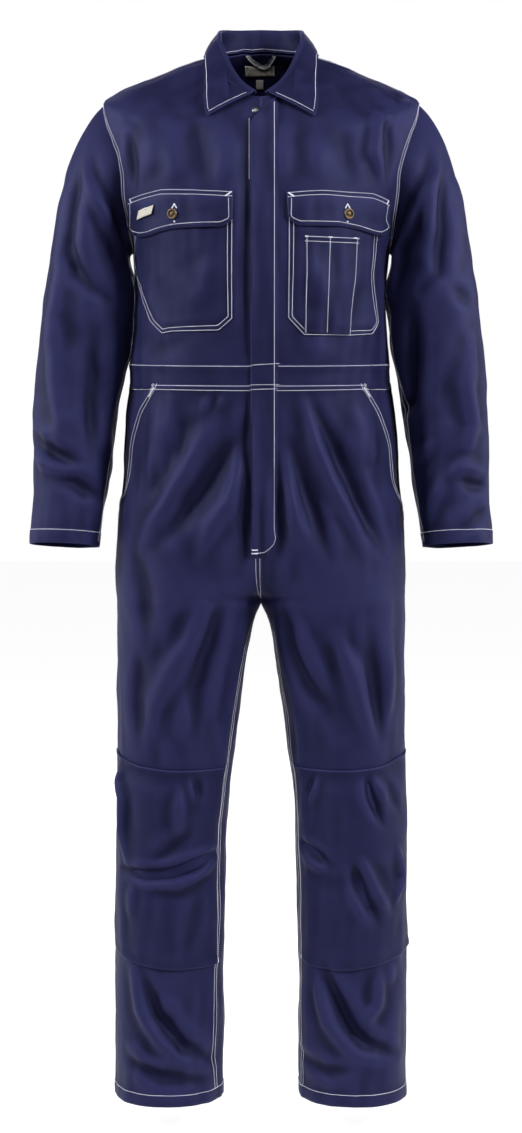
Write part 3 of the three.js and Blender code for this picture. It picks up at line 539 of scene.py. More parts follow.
class BodyForm:
    """The trunk or a leg as rings: an angle of 0 is the side seam, 90 the centre front."""

    def __init__(self, table: SizeTable, splits: bool) -> None:
        """Keeps the table.

        Args:
            table: The rings.
            splits: Whether the form becomes a leg under the crotch row.
        """
        self.table = table
        self.splits = splits
        self.fields = {1: CreaseField([]), -1: CreaseField([])}
        self.ripples: list[Ripple] = []

    def back_span(self, row: Array) -> Array:
        """Gives the angle at which the back ends."""
        span = self.table.read("backSpan", row)
        if not self.splits:
            return span
        return np.where(np.asarray(row) > CROTCH_ROW, 360 - self.table.read("frontSpan", row), span)

    def ring(self, angle: Array, row: Array, side: int) -> tuple[Array, Array, Array]:
        """Gives a ring's exponent, half width and centre at each angle and row."""
        exponent = 2 / self.table.read("full", row)
        span = np.radians(np.where(angle < 0, self.back_span(row), self.table.read("frontSpan", row)))
        outer = self.table.read("outer", row) + (self.table.read("extra", row) if side < 0 else 0)
        half = (outer - self.table.read("edge", row)) / (1 + np.abs(np.cos(span)) ** exponent)
        return exponent, half, outer - half

    def base(self, angle: Array, row: Array, side: int = 1) -> Array:
        """Gives the plain form's points, for the wearer's left half, with the sizes of a side."""
        angle, row = np.broadcast_arrays(np.asarray(angle, float), np.asarray(row, float))
        exponent, half, centre = self.ring(angle, row, side)
        across = power(np.cos(np.radians(angle)), exponent)
        forward = power(np.sin(np.radians(angle)), exponent)
        front = forward > 0
        depth = np.where(front, self.table.read("frontDepth", row), self.table.read("backDepth", row))
        end = np.where(front, self.table.read("front", row), self.table.read("back", row))
        low = self.table.read("side", row)
        z = low + (end - low) * np.abs(forward) ** 1.4
        return np.stack([centre + half * across, -depth * forward, z], axis=-1)

    def normal(self, angle: Array, row: Array, side: int = 1) -> Array:
        """Gives the plain form's outward normals."""
        angle, row = np.broadcast_arrays(np.asarray(angle, float), np.asarray(row, float))
        around = self.base(angle + 0.5, row, side) - self.base(angle - 0.5, row, side)
        ahead = np.minimum(row + 0.05, self.table.last)
        behind = np.maximum(row - 0.05, 0)
        along = self.base(angle, ahead, side) - self.base(angle, behind, side)
        normal = unit(np.cross(around, along))
        _, _, centre = self.ring(angle, row, side)
        outward = self.base(angle, row, side)
        away = (outward[..., 0] - centre) * normal[..., 0] + outward[..., 1] * normal[..., 1]
        return np.where(away[..., None] < 0, -normal, normal)

    def place(self, angle: Array, row: Array, side: int, out: Array | float = 0.0) -> tuple[Array, Array]:
        """Gives points of the creased cloth, raised by a height.

        Args:
            angle: Angles round the form.
            row: Rows along it.
            side: 1 for the wearer's left and -1 for the right.
            out: Height over the cloth.

        Returns:
            The points and their normals.
        """
        points = self.base(angle, row, side)
        normals = self.normal(angle, row, side)
        height = smooth(np.abs(points[..., 0]), 1, 12) * self.fields[side].height(points)
        joined = self.splits * smooth(row, 3.5, 5.5) * (1 - smooth(row, 9.5, 11))
        still = 1 - joined * (1 - smooth(np.abs(points[..., 0]), 0, 20))
        for ripple in self.ripples:
            height = height + still * ripple.height(points * [side, 1, 1])
        height = height + still * streaks(points * [side, 1, 1])
        points = points + normals * (height + out)[..., None]
        mirror = np.array([side, 1, 1])
        return points * mirror, normals * mirror

    def slit_angle(self, row: Array, side: int = 1) -> Array:
        """Gives the angle of the armhole's or hip pocket's edge."""
        row = np.asarray(row, float)
        _, half, centre = self.ring(np.ones_like(row), row, side)
        slit = self.table.read("slit", row) + (self.table.read("extra", row) if side < 0 else 0)
        share = np.clip((slit - centre) / half, 0, 1)
        return np.degrees(np.arccos(share ** (self.table.read("full", row) / 2)))

    def locate(self, x: Array, z: Array, side: int = 1, face: Face = Face.FRONT) -> tuple[Array, Array]:
        """Finds the angle and row of the front's or back's points at an x and z."""
        way = 1 if face is Face.FRONT else -1
        x, z = np.broadcast_arrays(np.asarray(x, float), np.asarray(z, float))

        def angle_at(row: Array) -> Array:
            """Gives the angle at which a ring has that x."""
            _, half, centre = self.ring(np.full_like(row, way), row, side)
            share = np.clip((x - centre) / half, -1, 1)
            return way * np.degrees(np.arccos(power(share, self.table.read("full", row) / 2)))

        sides = self.table.columns["side"]
        rising = sides[-1] > sides[0]
        row = last_true(lambda rows: (self.base(angle_at(rows), rows, side)[..., 2] < z) == rising,
                        x, self.table.last)
        return angle_at(row), row

    def row_at(self, angle: Array, z: Array) -> Array:
        """Finds the row of a falling form at an angle and height."""
        angle, z = np.broadcast_arrays(np.asarray(angle, float), np.asarray(z, float))
        return last_true(lambda rows: self.base(angle, rows)[..., 2] > z, z, self.table.last)


TRUNK_FORM = BodyForm(TRUNK, splits=False)
LEG_FORM = BodyForm(LEG, splits=True)


def on_body(x: Array, z: Array, out: Array | float = 0.0, face: Face = Face.FRONT) -> tuple[Array, Array]:
    """Gives points and normals of the creased body at an x and z, above or below the waist."""
    x, z, out = np.broadcast_arrays(*(np.asarray(v, float) for v in (x, z, out)))
    points, normals = np.zeros(x.shape + (3,)), np.zeros(x.shape + (3,))
    upper = z > TRUNK.columns["front"][0]
    for form, part in ((TRUNK_FORM, upper), (LEG_FORM, ~upper)):
        for side in (1, -1):
            here = part & ((x >= 0) if side > 0 else (x < 0))
            if here.any():
                angle, row = form.locate(np.abs(x[here]), z[here], side, face)
                points[here], normals[here] = form.place(angle, row, side, out[here])
    return points, normals


def set_body_creases() -> None:
    """Finds the body's folds in space and gives them to the trunk and the legs."""
    def locate(x: Array, z: Array, face: Face) -> Array:
        """Finds points on the plain body."""
        return on_body(x, z, 0.0, face)[0]

    fields = {side: CreaseField.find(BODY_CREASES, side, locate) for side in (1, -1)}
    for form in (TRUNK_FORM, LEG_FORM):
        form.fields = fields
        form.ripples = [Ripple(11, 60, 220, 1.1), Ripple(12, 26, 60, 0.45)]


class SleeveForm:
    """A sleeve: columns run round from the top over the front, and rows from -1 at the armhole."""

    def __init__(self, side: int, columns: int = 96) -> None:
        """Finds the armhole and the folds.

        Args:
            side: 1 for the wearer's left and -1 for the right.
            columns: Points round the armhole.
        """
        self.side = side
        rows = np.linspace(ARMPIT_ROW, TIP_ROW, 90)
        down = rows[::-1]
        mirror = np.array([side, 1, 1])
        front, _ = TRUNK_FORM.place(TRUNK_FORM.slit_angle(down, side), down, side)
        back, _ = TRUNK_FORM.place(-TRUNK_FORM.slit_angle(rows, side), rows, side)
        loop = np.concatenate([front, back[1:-1], front[:1]]) * mirror
        lengths = arc(loop, 0)
        share = np.arange(columns) / columns
        self.seam = np.stack([np.interp(share * lengths[-1], lengths, loop[:, k]) for k in range(3)], axis=-1)
        self.angles = share * 360
        self.ripples = [Ripple(21, 50, 160, 1.2), Ripple(22, 24, 50, 0.5)]
        self.field = CreaseField.find(SLEEVE_CREASES, side, self.locate)

    def ring(self, angle: Array, row: Array) -> Array:
        """Gives the tube's points under the cap."""
        def read(key: str) -> Array:
            """Reads a column of the sleeve's table."""
            return SLEEVE.read(key, row)

        across = np.cos(np.radians(angle)) * read("halfWidth")
        forward = np.sin(np.radians(angle)) * read("halfDepth")
        return np.stack(np.broadcast_arrays(
            read("x") + across, read("y") - forward,
            read("z") + across * read("turn") + forward * read("lean")), axis=-1)

    def cap(self, share: Array) -> Array:
        """Gives the cap's points for every column, at a share from armhole to biceps."""
        start, angle = self.seam, self.angles
        end = self.ring(angle, np.zeros_like(angle))
        reach = np.linalg.norm(end - start, axis=1)[:, None]
        turn = np.cos(np.radians(angle))
        leave = np.stack([0.74 + 0.1 * (1 - turn), -0.25 * np.sin(np.radians(angle)), -0.32 - 0.38 * turn],
                         axis=-1)
        arrive = unit(self.ring(angle, np.full_like(angle, 0.1)) - end)
        t2, t3 = share * share, share * share * share
        return (start * (2 * t3 - 3 * t2 + 1) + leave * reach * 0.9 * (t3 - 2 * t2 + share)
                + end * (3 * t2 - 2 * t3) + arrive * reach * (t3 - t2))

    def line(self, row: float) -> Array:
        """Gives the plain form's points round one row."""
        if row < 0:
            return self.cap(row + 1)
        return self.ring(self.angles, np.full_like(self.angles, row))

    def grid(self, rows: Array) -> tuple[Array, Array]:
        """Gives the creased sleeve's points and normals.

        Args:
            rows: Rows from -1 at the armhole to the cuff's.

        Returns:
            Points and normals of shape (rows, columns, 3).
        """
        points = self.against_trunk(np.stack([self.line(float(row)) for row in rows]), rows)
        around = np.roll(points, -1, axis=1) - np.roll(points, 1, axis=1)
        down = np.gradient(points, axis=0)
        normals = unit(np.cross(around, down))
        middle = points.mean(axis=1, keepdims=True)
        flip = np.sum(normals * (points - middle), axis=-1, keepdims=True)
        normals = normals if flip[rows >= 0].mean() > 0 else -normals
        fade = smooth(rows, -0.9, -0.4)[:, None]
        mirror = np.array([self.side, 1, 1])
        mirrored = points * mirror
        height = fade * self.field.height(points)
        for ripple in self.ripples:
            height = height + fade * ripple.height(mirrored)
        height = height + fade * streaks(mirrored)
        points = points + normals * height[..., None]
        return points * mirror, normals * mirror

    def against_trunk(self, points: Array, rows: Array) -> Array:
        """Lets the inner side lie against the trunk, down to where the sleeve parts from it."""
        low = PARTING[self.side]
        inner = np.clip(-np.cos(np.radians(self.angles)), 0, 1)[None, :]
        held = smooth(points[..., 2], low - 40, low) * smooth(rows, -0.5, 0.3)[:, None]
        points[..., 0] -= SLEEVE_PRESS * inner * held
        return points

    def locate(self, x: Array, z: Array, face: Face) -> Array:
        """Finds the plain sleeve's points at an x and z on one face."""
        way = 1 if face is Face.FRONT else -1
        rows = np.concatenate([np.linspace(-1, 0, 40), np.linspace(0, CUFF_ROW, 160)[1:]])
        facing = way * np.sin(np.radians(self.angles)) > -0.05
        spots = np.stack([self.line(float(row))[facing] for row in rows]).reshape(-1, 3)
        gaps = (spots[:, 0] - x[:, None]) ** 2 + (spots[:, 2] - z[:, None]) ** 2
        return spots[np.argmin(gaps, axis=1)]


# Meshes
class Edge(Enum):
    """The four edges of a panel's grid."""

    START = "first column"
    END = "last column"
    FIRST = "first row"
    LAST = "last row"


def arc(points: Array, axis: int) -> Array:
    """Gives the distance along a grid's rows or columns."""
    steps = np.linalg.norm(np.diff(points, axis=axis), axis=-1)
    start = np.zeros_like(np.take(steps, [0], axis=axis))
    return np.concatenate([start, np.cumsum(steps, axis=axis)], axis=axis)


def resample(path: Array, count: int) -> Array:
    """Gives evenly spaced points along a path of shape (n, k)."""
    lengths = arc(path, 0)
    return np.stack([np.interp(np.linspace(0, lengths[-1], count), lengths, path[:, k])
                     for k in range(path.shape[1])], axis=-1)


@dataclass(frozen=True)
class Run:
    """A row of sewing: points on the cloth with the outward direction at each."""

    points: Array
    normals: Array

    def pick(self, kept: slice | list[int] | Array) -> "Run":
        """Gives some of its points."""
        return Run(self.points[kept], self.normals[kept])

    @staticmethod
    def join(*runs: "Run") -> "Run":
        """Joins runs into one, in order."""
        points = np.concatenate([run.points for run in runs])
        return Run(points, np.concatenate([run.normals for run in runs]))


@dataclass
class Panel:
    """A piece of cloth as a grid of points on its outer face.

    Attributes:
        name: The piece's name.
        points: Points in millimetres, shape (rows, columns, 3).
        normals: Outward normals of the same shape.
        wrap: Whether the columns close into a tube.
        thick: The wall's thickness.
    """

    name: str
    points: Array
    normals: Array
    wrap: bool = False
    thick: float = CLOTH_THICKNESS

    def distance(self, edge: Edge) -> Array:
        """Gives each point's distance from an edge, measured along the cloth."""
        lengths = arc(self.points, 1 if edge in (Edge.START, Edge.END) else 0)
        if edge is Edge.END:
            return lengths[:, -1:] - lengths
        return lengths[-1:] - lengths if edge is Edge.LAST else lengths

    def near(self, *edges: Edge) -> Array:
        """Gives each point's distance from the nearest of some edges."""
        return np.minimum.reduce([self.distance(edge) for edge in edges])

    def lift(self, height: Array) -> None:
        """Raises the points along their normals."""
        self.points = self.points + self.normals * height[..., None]

    def lap(self, edges: tuple[Edge, ...], rise: float = 1.1, width: float = 12.0) -> None:
        """Raises the edges that lie over a neighbour, where the seam's layers are thick."""
        raised = np.zeros(self.points.shape[:-1])
        for edge in edges:
            raised = np.maximum(raised, rise * (1 - smooth(self.distance(edge), width * 0.6, width)))
        self.lift(raised)

    def along(self, edge: Edge, inset: float | Array, low: float = 0.0, high: float = 1.0) -> Run:
        """Gives a row of sewing beside an edge.

        Args:
            edge: The edge that it follows.
            inset: Distance from that edge, the same all along or one for each point.
            low: Share of the edge's points at which it starts.
            high: Share at which it ends.

        Returns:
            The run.
        """
        gaps, points, normals = self.distance(edge), self.points, self.normals
        if edge in (Edge.FIRST, Edge.LAST):
            gaps, points, normals = gaps.T, points.swapaxes(0, 1), normals.swapaxes(0, 1)
        if edge in (Edge.END, Edge.LAST):
            gaps, points, normals = gaps[:, ::-1], points[:, ::-1], normals[:, ::-1]
        kept = slice(round(low * (len(gaps) - 1)), round(high * (len(gaps) - 1)) + 1)
        insets = np.broadcast_to(inset, len(gaps))[kept]
        spots, ways = (np.array([[np.interp(place, gap, line[:, k]) for k in range(3)]
                                 for place, gap, line in zip(insets, gaps[kept], grid[kept])])
                       for grid in (points, normals))
        return Run(spots, unit(ways))

    def around(self, inset: float, top: float = 0.0) -> Run:
        """Gives one row of sewing down the first column, across the last row and up the last column.

        Args:
            inset: Distance from the three edges.
            top: Distance from the first row at which it starts and ends.

        Returns:
            The run.
        """
        low, high = self.distance(Edge.LAST), self.distance(Edge.FIRST)
        side = [(low[:, k] > inset) & (high[:, k] >= top) for k in (0, -1)]
        foot = (self.distance(Edge.START)[-1] > inset) & (self.distance(Edge.END)[-1] > inset)
        down, over, up = (self.along(edge, inset) for edge in (Edge.START, Edge.LAST, Edge.END))
        return Run.join(down.pick(side[0]), over.pick(foot), up.pick(side[1]).pick(slice(None, None, -1)))

    def over(self, *path: tuple[float, float], step: float = 3.0) -> Run:
        """Gives a row of sewing laid on the panel along points seen from the front.

        Args:
            path: The points' x and z.
            step: Distance between the run's points.

        Returns:
            The run.
        """
        line = np.array(path, float)
        line = resample(line, max(2, round(arc(line, 0)[-1] / step) + 1))
        grid, ways = self.points.reshape(-1, 3), self.normals.reshape(-1, 3)
        apart = line[:, None] - grid[None, :, ::2]
        gaps = np.sum(apart ** 2, axis=-1)
        near = np.argsort(gaps, axis=1)[:, :4]
        each = np.arange(len(line))[:, None]
        weight = 1 / (gaps[each, near] + 0.05)
        weight = weight / weight.sum(axis=1, keepdims=True)
        way = ways[near]
        depth = grid[near, 1] - np.sum(way[..., ::2] * apart[each, near], axis=-1) / way[..., 1]
        depth = np.sum(depth * weight, axis=1)
        return Run(np.stack([line[:, 0], depth, line[:, 1]], axis=-1),
                   unit(np.sum(way * weight[..., None], axis=1)))

    def cut(self) -> tuple[float, float, float]:
        """Gives the width, length and area that the piece was cut to, in metres."""
        looped = np.concatenate([self.points, self.points[:, :1]], axis=1) if self.wrap else self.points
        across, along = arc(looped, 1), arc(looped, 0)
        width, length = across[:, -1].max(), along[-1].max()
        allowance = min(SEAM_ALLOWANCE, ALLOWANCE_SHARE * min(width, length))
        width, length = max(width + 2 * allowance, NARROWEST) * MM, (length + 2 * allowance) * MM
        a, b = looped[1:, 1:] - looped[:-1, :-1], looped[1:, :-1] - looped[:-1, 1:]
        area = np.linalg.norm(np.cross(a, b), axis=-1).sum() / 2 * MM * MM
        area += 2 * (width + length) * allowance * MM
        return width, length, min(area, width * length)

    def build(self) -> bpy.types.Object:
        """Makes the thin closed shell, with its own UV map in metres and an edge attribute."""
        rows, columns = self.points.shape[:2]
        outer = self.points.reshape(-1, 3)
        inner = outer - self.normals.reshape(-1, 3) * self.thick
        count = rows * columns
        wide = columns if self.wrap else columns - 1
        i, j = np.meshgrid(np.arange(rows - 1), np.arange(wide), indexing="ij")
        i, j = i.ravel(), j.ravel()
        k = (j + 1) % columns
        upper, lower = i * columns, (i + 1) * columns
        faces = np.stack([upper + j, upper + k, lower + k, lower + j], axis=1)
        around = np.arange(wide)
        ahead = (around + 1) % columns
        rims = [self.rim(around, ahead, 0, count, False),
                self.rim(around, ahead, count - columns, count, True)]
        if not self.wrap:
            steps = np.arange(rows - 1) * columns
            last = steps + columns - 1
            rims.append(np.stack([steps + columns, steps, steps + count, steps + columns + count], axis=1))
            rims.append(np.stack([last, last + columns, last + columns + count, last + count], axis=1))
        faces = np.concatenate([faces, faces[:, ::-1] + count, *rims])
        points = np.concatenate([outer, inner])
        a, b, c, d = (points[faces[:, n]] for n in range(4))
        if np.einsum("ij,ij->i", a, np.cross(b, c) + np.cross(c, d)).sum() < 0:
            faces = faces[:, ::-1]
        return self.finish_mesh(points, faces)

    @staticmethod
    def rim(j: Array, k: Array, start: int, count: int, flip: bool) -> Array:
        """Gives the quads that close the wall along one end of the grid."""
        quads = np.stack([start + k, start + j, start + j + count, start + k + count], axis=1)
        return quads[:, ::-1] if flip else quads

    def finish_mesh(self, points: Array, faces: Array) -> bpy.types.Object:
        """Turns points and quads into a smooth object with its UV map and attributes."""
        obj = mesh_object(self.name, points, faces)
        across, along = arc(self.points, 1), arc(self.points, 0)
        across = across - across[:, [across.shape[1] // 2]]
        uv = np.stack([across, along], axis=-1).reshape(-1, 2) * MM
        uv = np.concatenate([uv, uv])
        layer = obj.data.uv_layers.new(name="cloth")
        layer.data.foreach_set("uv", uv[faces.ravel()].ravel())
        ends = np.minimum(along, along[-1:] - along)
        if not self.wrap:
            ends = np.minimum(ends, np.minimum(across - across[:, :1], across[:, -1:] - across))
        edge = obj.data.attributes.new("edge_distance", "FLOAT", "POINT")
        edge.data.foreach_set("value", np.tile(ends.ravel() * MM, 2))
        # fold_relief drives the twill's painted shade in fold hollows and its ridges paled by wear and
        # painted highlight.
        relief = obj.data.attributes.new("fold_relief", "FLOAT", "POINT")
        relief.data.foreach_set("value", np.tile(self.relief().ravel(), 2))
        return obj

    def relief(self) -> Array:
        """Gives how far each point stands over the mean of the cloth round it, in millimetres."""
        mean = self.points
        for axis in (0, 1):
            count = mean.shape[axis]
            reach = min(RELIEF_REACH, count - 1)
            pads = [(reach, reach) if number == axis else (0, 0) for number in range(3)]
            if self.wrap and axis == 1:
                wider = np.pad(mean, pads, "wrap")
            else:
                wider = np.pad(mean, pads, "reflect", reflect_type="odd")
            parts = [np.take(wider, np.arange(k, k + count), axis) for k in range(2 * reach + 1)]
            mean = sum(parts) / len(parts)
        return np.sum((self.points - mean) * self.normals, axis=-1)


def add_object(name: str, data: bpy.types.ID) -> bpy.types.Object:
    """Puts new data into the scene as an object."""
    obj = bpy.data.objects.new(name, data)
    bpy.context.scene.collection.objects.link(obj)
    return obj


def mesh_object(name: str, points: Array, faces: Array | list) -> bpy.types.Object:
    """Makes a smooth object from points in millimetres and its faces."""
    mesh = bpy.data.meshes.new(name)
    mesh.from_pydata((points * MM).tolist(), [], faces.tolist() if isinstance(faces, Array) else faces)
    mesh.polygons.foreach_set("use_smooth", np.ones(len(faces), bool))
    mesh.update()
    return add_object(name, mesh)


def even_rows(form: BodyForm, low: float, high: float, angle: float, step: float = GRID_STEP) -> Array:
    """Gives rows from low to high that are evenly spaced along the cloth at an angle."""
    fine = np.linspace(low, high, 400)
    line = form.base(np.full_like(fine, angle), fine)
    length = arc(line, 0)
    return np.interp(np.linspace(0, length[-1], max(2, round(length[-1] / step) + 1)), length, fine)


def share_at(rows: Array, row: float) -> float:
    """Gives the share of a panel's rows at a row of its form."""
    return float(np.interp(row, rows, np.linspace(0, 1, len(rows))))


def body_grid(form: BodyForm, rows: Array, start: Array, end: Array, side: int, count: int,
              out: Array | float = 0.0) -> tuple[Array, Array]:
    """Gives a grid between two angles that change from row to row."""
    share = np.linspace(0, 1, count)[None, :]
    angle = start[:, None] + (end - start)[:, None] * share
    return form.place(angle, np.broadcast_to(rows[:, None], angle.shape), side, out)


def both_halves(form: BodyForm, rows: Array, end: Callable[[int], Array],
                count: int) -> tuple[Array, Array]:
    """Gives a back's grid in one piece, from the right edge over the middle to the left edge."""
    middle = np.full_like(rows, -90)
    left, right = (body_grid(form, rows, middle, end(side), side, count) for side in (1, -1))
    return tuple(np.concatenate([b[:, :0:-1], a], axis=1) for a, b in zip(left, right))


# Sewing
class Sewing(Enum):
    """Kinds of sewing: stitch pitch, length, width and height in millimetres."""

    LOCK = (3.1, 2.75, 1.15, 0.75)
    TACK = (0.75, 0.95, 2.6, 0.95)


class Thread:
    """Collects rows of sewing and lays thread along them with Geometry Nodes."""

    def __init__(self, finish: bpy.types.Material) -> None:
        """Builds the node tree once."""
        self.finish = finish
        self.runs: dict[tuple[str, Sewing], list[Run]] = {}
        self.tree = self.make_tree()

    def sew(self, group: str, *runs: Run, kind: Sewing = Sewing.LOCK) -> None:
        """Adds runs to a group's thread."""
        self.runs.setdefault((group, kind), []).extend(run for run in runs if len(run.points) > 1)

    def tack(self, group: str, *ends: Run) -> None:
        """Adds dense bar tacks along short runs."""
        self.sew(group, *ends, kind=Sewing.TACK)

    @staticmethod
    def make_tree() -> bpy.types.NodeTree:
        """Builds the tree that turns edges into stitches."""
        tree = bpy.data.node_groups.new("lay_thread", "GeometryNodeTree")
        tree.interface.new_socket("Geometry", in_out="INPUT", socket_type="NodeSocketGeometry")
        for name in ("Pitch", "Length", "Width", "Height"):
            tree.interface.new_socket(name, in_out="INPUT", socket_type="NodeSocketFloat")
        tree.interface.new_socket("Thread", in_out="INPUT", socket_type="NodeSocketMaterial")
        tree.interface.new_socket("Geometry", in_out="OUTPUT", socket_type="NodeSocketGeometry")

        def add(kind: str, inputs: dict, output: int = 0, **settings: object) -> bpy.types.NodeSocket:
            """Adds a node, sets it up and gives one of its outputs."""
            node = tree.nodes.new(kind)
            for key, value in settings.items():
                setattr(node, key, value)
            for key, value in inputs.items():
                if isinstance(value, bpy.types.NodeSocket):
                    tree.links.new(value, node.inputs[key])
                else:
                    node.inputs[key].default_value = value
            return node.outputs[output] if node.outputs else node

        given = tree.nodes.new("NodeGroupInput").outputs
        curve = add("GeometryNodeMeshToCurve", {"Mesh": given["Geometry"]})
        spaced = add("GeometryNodeResampleCurve", {"Curve": curve, "Length": given["Pitch"]}, mode="LENGTH")
        bead = add("GeometryNodeMeshUVSphere", {"Segments": 6, "Rings": 3, "Radius": 0.5})
        size = add("ShaderNodeCombineXYZ", {0: given["Length"], 1: given["Width"], 2: given["Height"]})
        stitch = add("GeometryNodeTransform", {"Geometry": bead, "Scale": size})
        tangent = add("GeometryNodeInputTangent", {})
        lift = add("GeometryNodeInputNamedAttribute", {"Name": "lift"}, data_type="FLOAT_VECTOR")
        ahead = add("FunctionNodeAlignRotationToVector", {"Vector": tangent}, axis="X")
        turned = add("FunctionNodeAlignRotationToVector", {"Rotation": ahead, "Vector": lift}, axis="Z",
                     pivot_axis="X")
        laid = add("GeometryNodeInstanceOnPoints", {"Points": spaced, "Instance": stitch, "Rotation": turned})
        real = add("GeometryNodeRealizeInstances", {"Geometry": laid})
        done = add("GeometryNodeSetMaterial", {"Geometry": real, "Material": given["Thread"]})
        tree.links.new(done, tree.nodes.new("NodeGroupOutput").inputs["Geometry"])
        return tree

    def build(self) -> list[bpy.types.Object]:
        """Lays all the thread, one piece for each group and kind."""
        return [self.lay(f"{group}_{kind.name.lower()}_stitches", runs, kind)
                for (group, kind), runs in self.runs.items()]

    def lay(self, name: str, runs: list[Run], kind: Sewing) -> bpy.types.Object:
        """Turns runs into one plain mesh of stitches.

        Args:
            name: The piece's name.
            runs: Its rows of sewing.
            kind: Their kind.

        Returns:
            The finished piece.
        """
        points = np.concatenate([run.points + run.normals * kind.value[3] * 0.3 for run in runs])
        lifts = np.concatenate([run.normals for run in runs])
        starts = np.cumsum([0, *(len(run.points) for run in runs)])
        edges = [(i, i + 1) for low, high in zip(starts[:-1], starts[1:]) for i in range(low, high - 1)]
        mesh = bpy.data.meshes.new(name)
        mesh.from_pydata((points * MM).tolist(), [(int(a), int(b)) for a, b in edges], [])
        mesh.attributes.new("lift", "FLOAT_VECTOR", "POINT").data.foreach_set("vector", lifts.ravel())
        obj = add_object(name, mesh)
        modifier = obj.modifiers.new("thread", "NODES")
        modifier.node_group = self.tree
        sizes = dict(zip(("Pitch", "Length", "Width", "Height"), kind.value))
        for item in self.tree.interface.items_tree:
            if item.in_out == "INPUT" and item.name in sizes:
                modifier[item.identifier] = sizes[item.name] * MM
            elif item.in_out == "INPUT" and item.name == "Thread":
                modifier[item.identifier] = self.finish
        graph = bpy.context.evaluated_depsgraph_get()
        laid = bpy.data.meshes.new_from_object(obj.evaluated_get(graph))
        obj.modifiers.clear()
        obj.data = laid
        laid.polygons.foreach_set("use_smooth", np.ones(len(laid.polygons), bool))
        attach(obj, "root")
        LOG.info("%s: %d faces", name, len(laid.polygons))
        return obj


# Finishes
class Value:
    """A shader socket that adds its Math nodes when Python operators are used on it."""

    def __init__(self, graph: "Graph", socket: bpy.types.NodeSocket) -> None:
        """Wraps a socket of a graph."""
        self.graph = graph
        self.socket = socket

    def math(self, operation: str, *others: "Value | float") -> "Value":
        """Adds a Math node on this value and others."""
        values = [self, *others]
        return self.graph.node("ShaderNodeMath", {"operation": operation}, dict(enumerate(values)))

    def __add__(self, other: "Value | float") -> "Value":
        """Adds."""
        return self.math("ADD", other)

    __radd__ = __add__

    def __mul__(self, other: "Value | float") -> "Value":
        """Multiplies."""
        return self.math("MULTIPLY", other)

    __rmul__ = __mul__

    def __sub__(self, other: "Value | float") -> "Value":
        """Takes away."""
        return self.math("SUBTRACT", other)

    def __rsub__(self, other: float) -> "Value":
        """Takes this value away from a number."""
        return self.graph.node("ShaderNodeMath", {"operation": "SUBTRACT"}, {0: other, 1: self})


class Graph:
    """A material's node tree with one method that adds any node."""

    def __init__(self, name: str) -> None:
        """Starts a material with only its output and main shader."""
        self.material = bpy.data.materials.new(name)
        self.material.use_nodes = True
        self.tree = self.material.node_tree
        self.tree.nodes.clear()
        self.output = self.tree.nodes.new("ShaderNodeOutputMaterial")
        self.shader = self.tree.nodes.new("ShaderNodeBsdfPrincipled")
        self.tree.links.new(self.shader.outputs[0], self.output.inputs["Surface"])

    def node(self, kind: str, settings: dict, inputs: dict, output: int | str = 0) -> Value:
        """Adds a node.

        Args:
            kind: The node's type.
            settings: Its properties, set first.
            inputs: Values or links for its sockets, by number or name.
            output: The output wanted.

        Returns:
            That output, wrapped.
        """
        made = self.tree.nodes.new(kind)
        for key, value in settings.items():
            setattr(made, key, value)
        for key, value in inputs.items():
            self.feed(made.inputs[key], value)
        return Value(self, made.outputs[output])

    def feed(self, socket: bpy.types.NodeSocket, value: object) -> None:
        """Links a wrapped socket or sets a plain value."""
        if isinstance(value, Value):
            self.tree.links.new(value.socket, socket)
        else:
            socket.default_value = value

    def set(self, **sockets: object) -> None:
        """Feeds sockets of the main shader, named with underscores for spaces."""
        for key, value in sockets.items():
            self.feed(self.shader.inputs[key.replace("_", " ")], value)


Colour = tuple[float, float, float]


def rgba(colour: Colour) -> tuple[float, float, float, float]:
    """Adds full opacity to a colour."""
    return (*colour, 1.0)


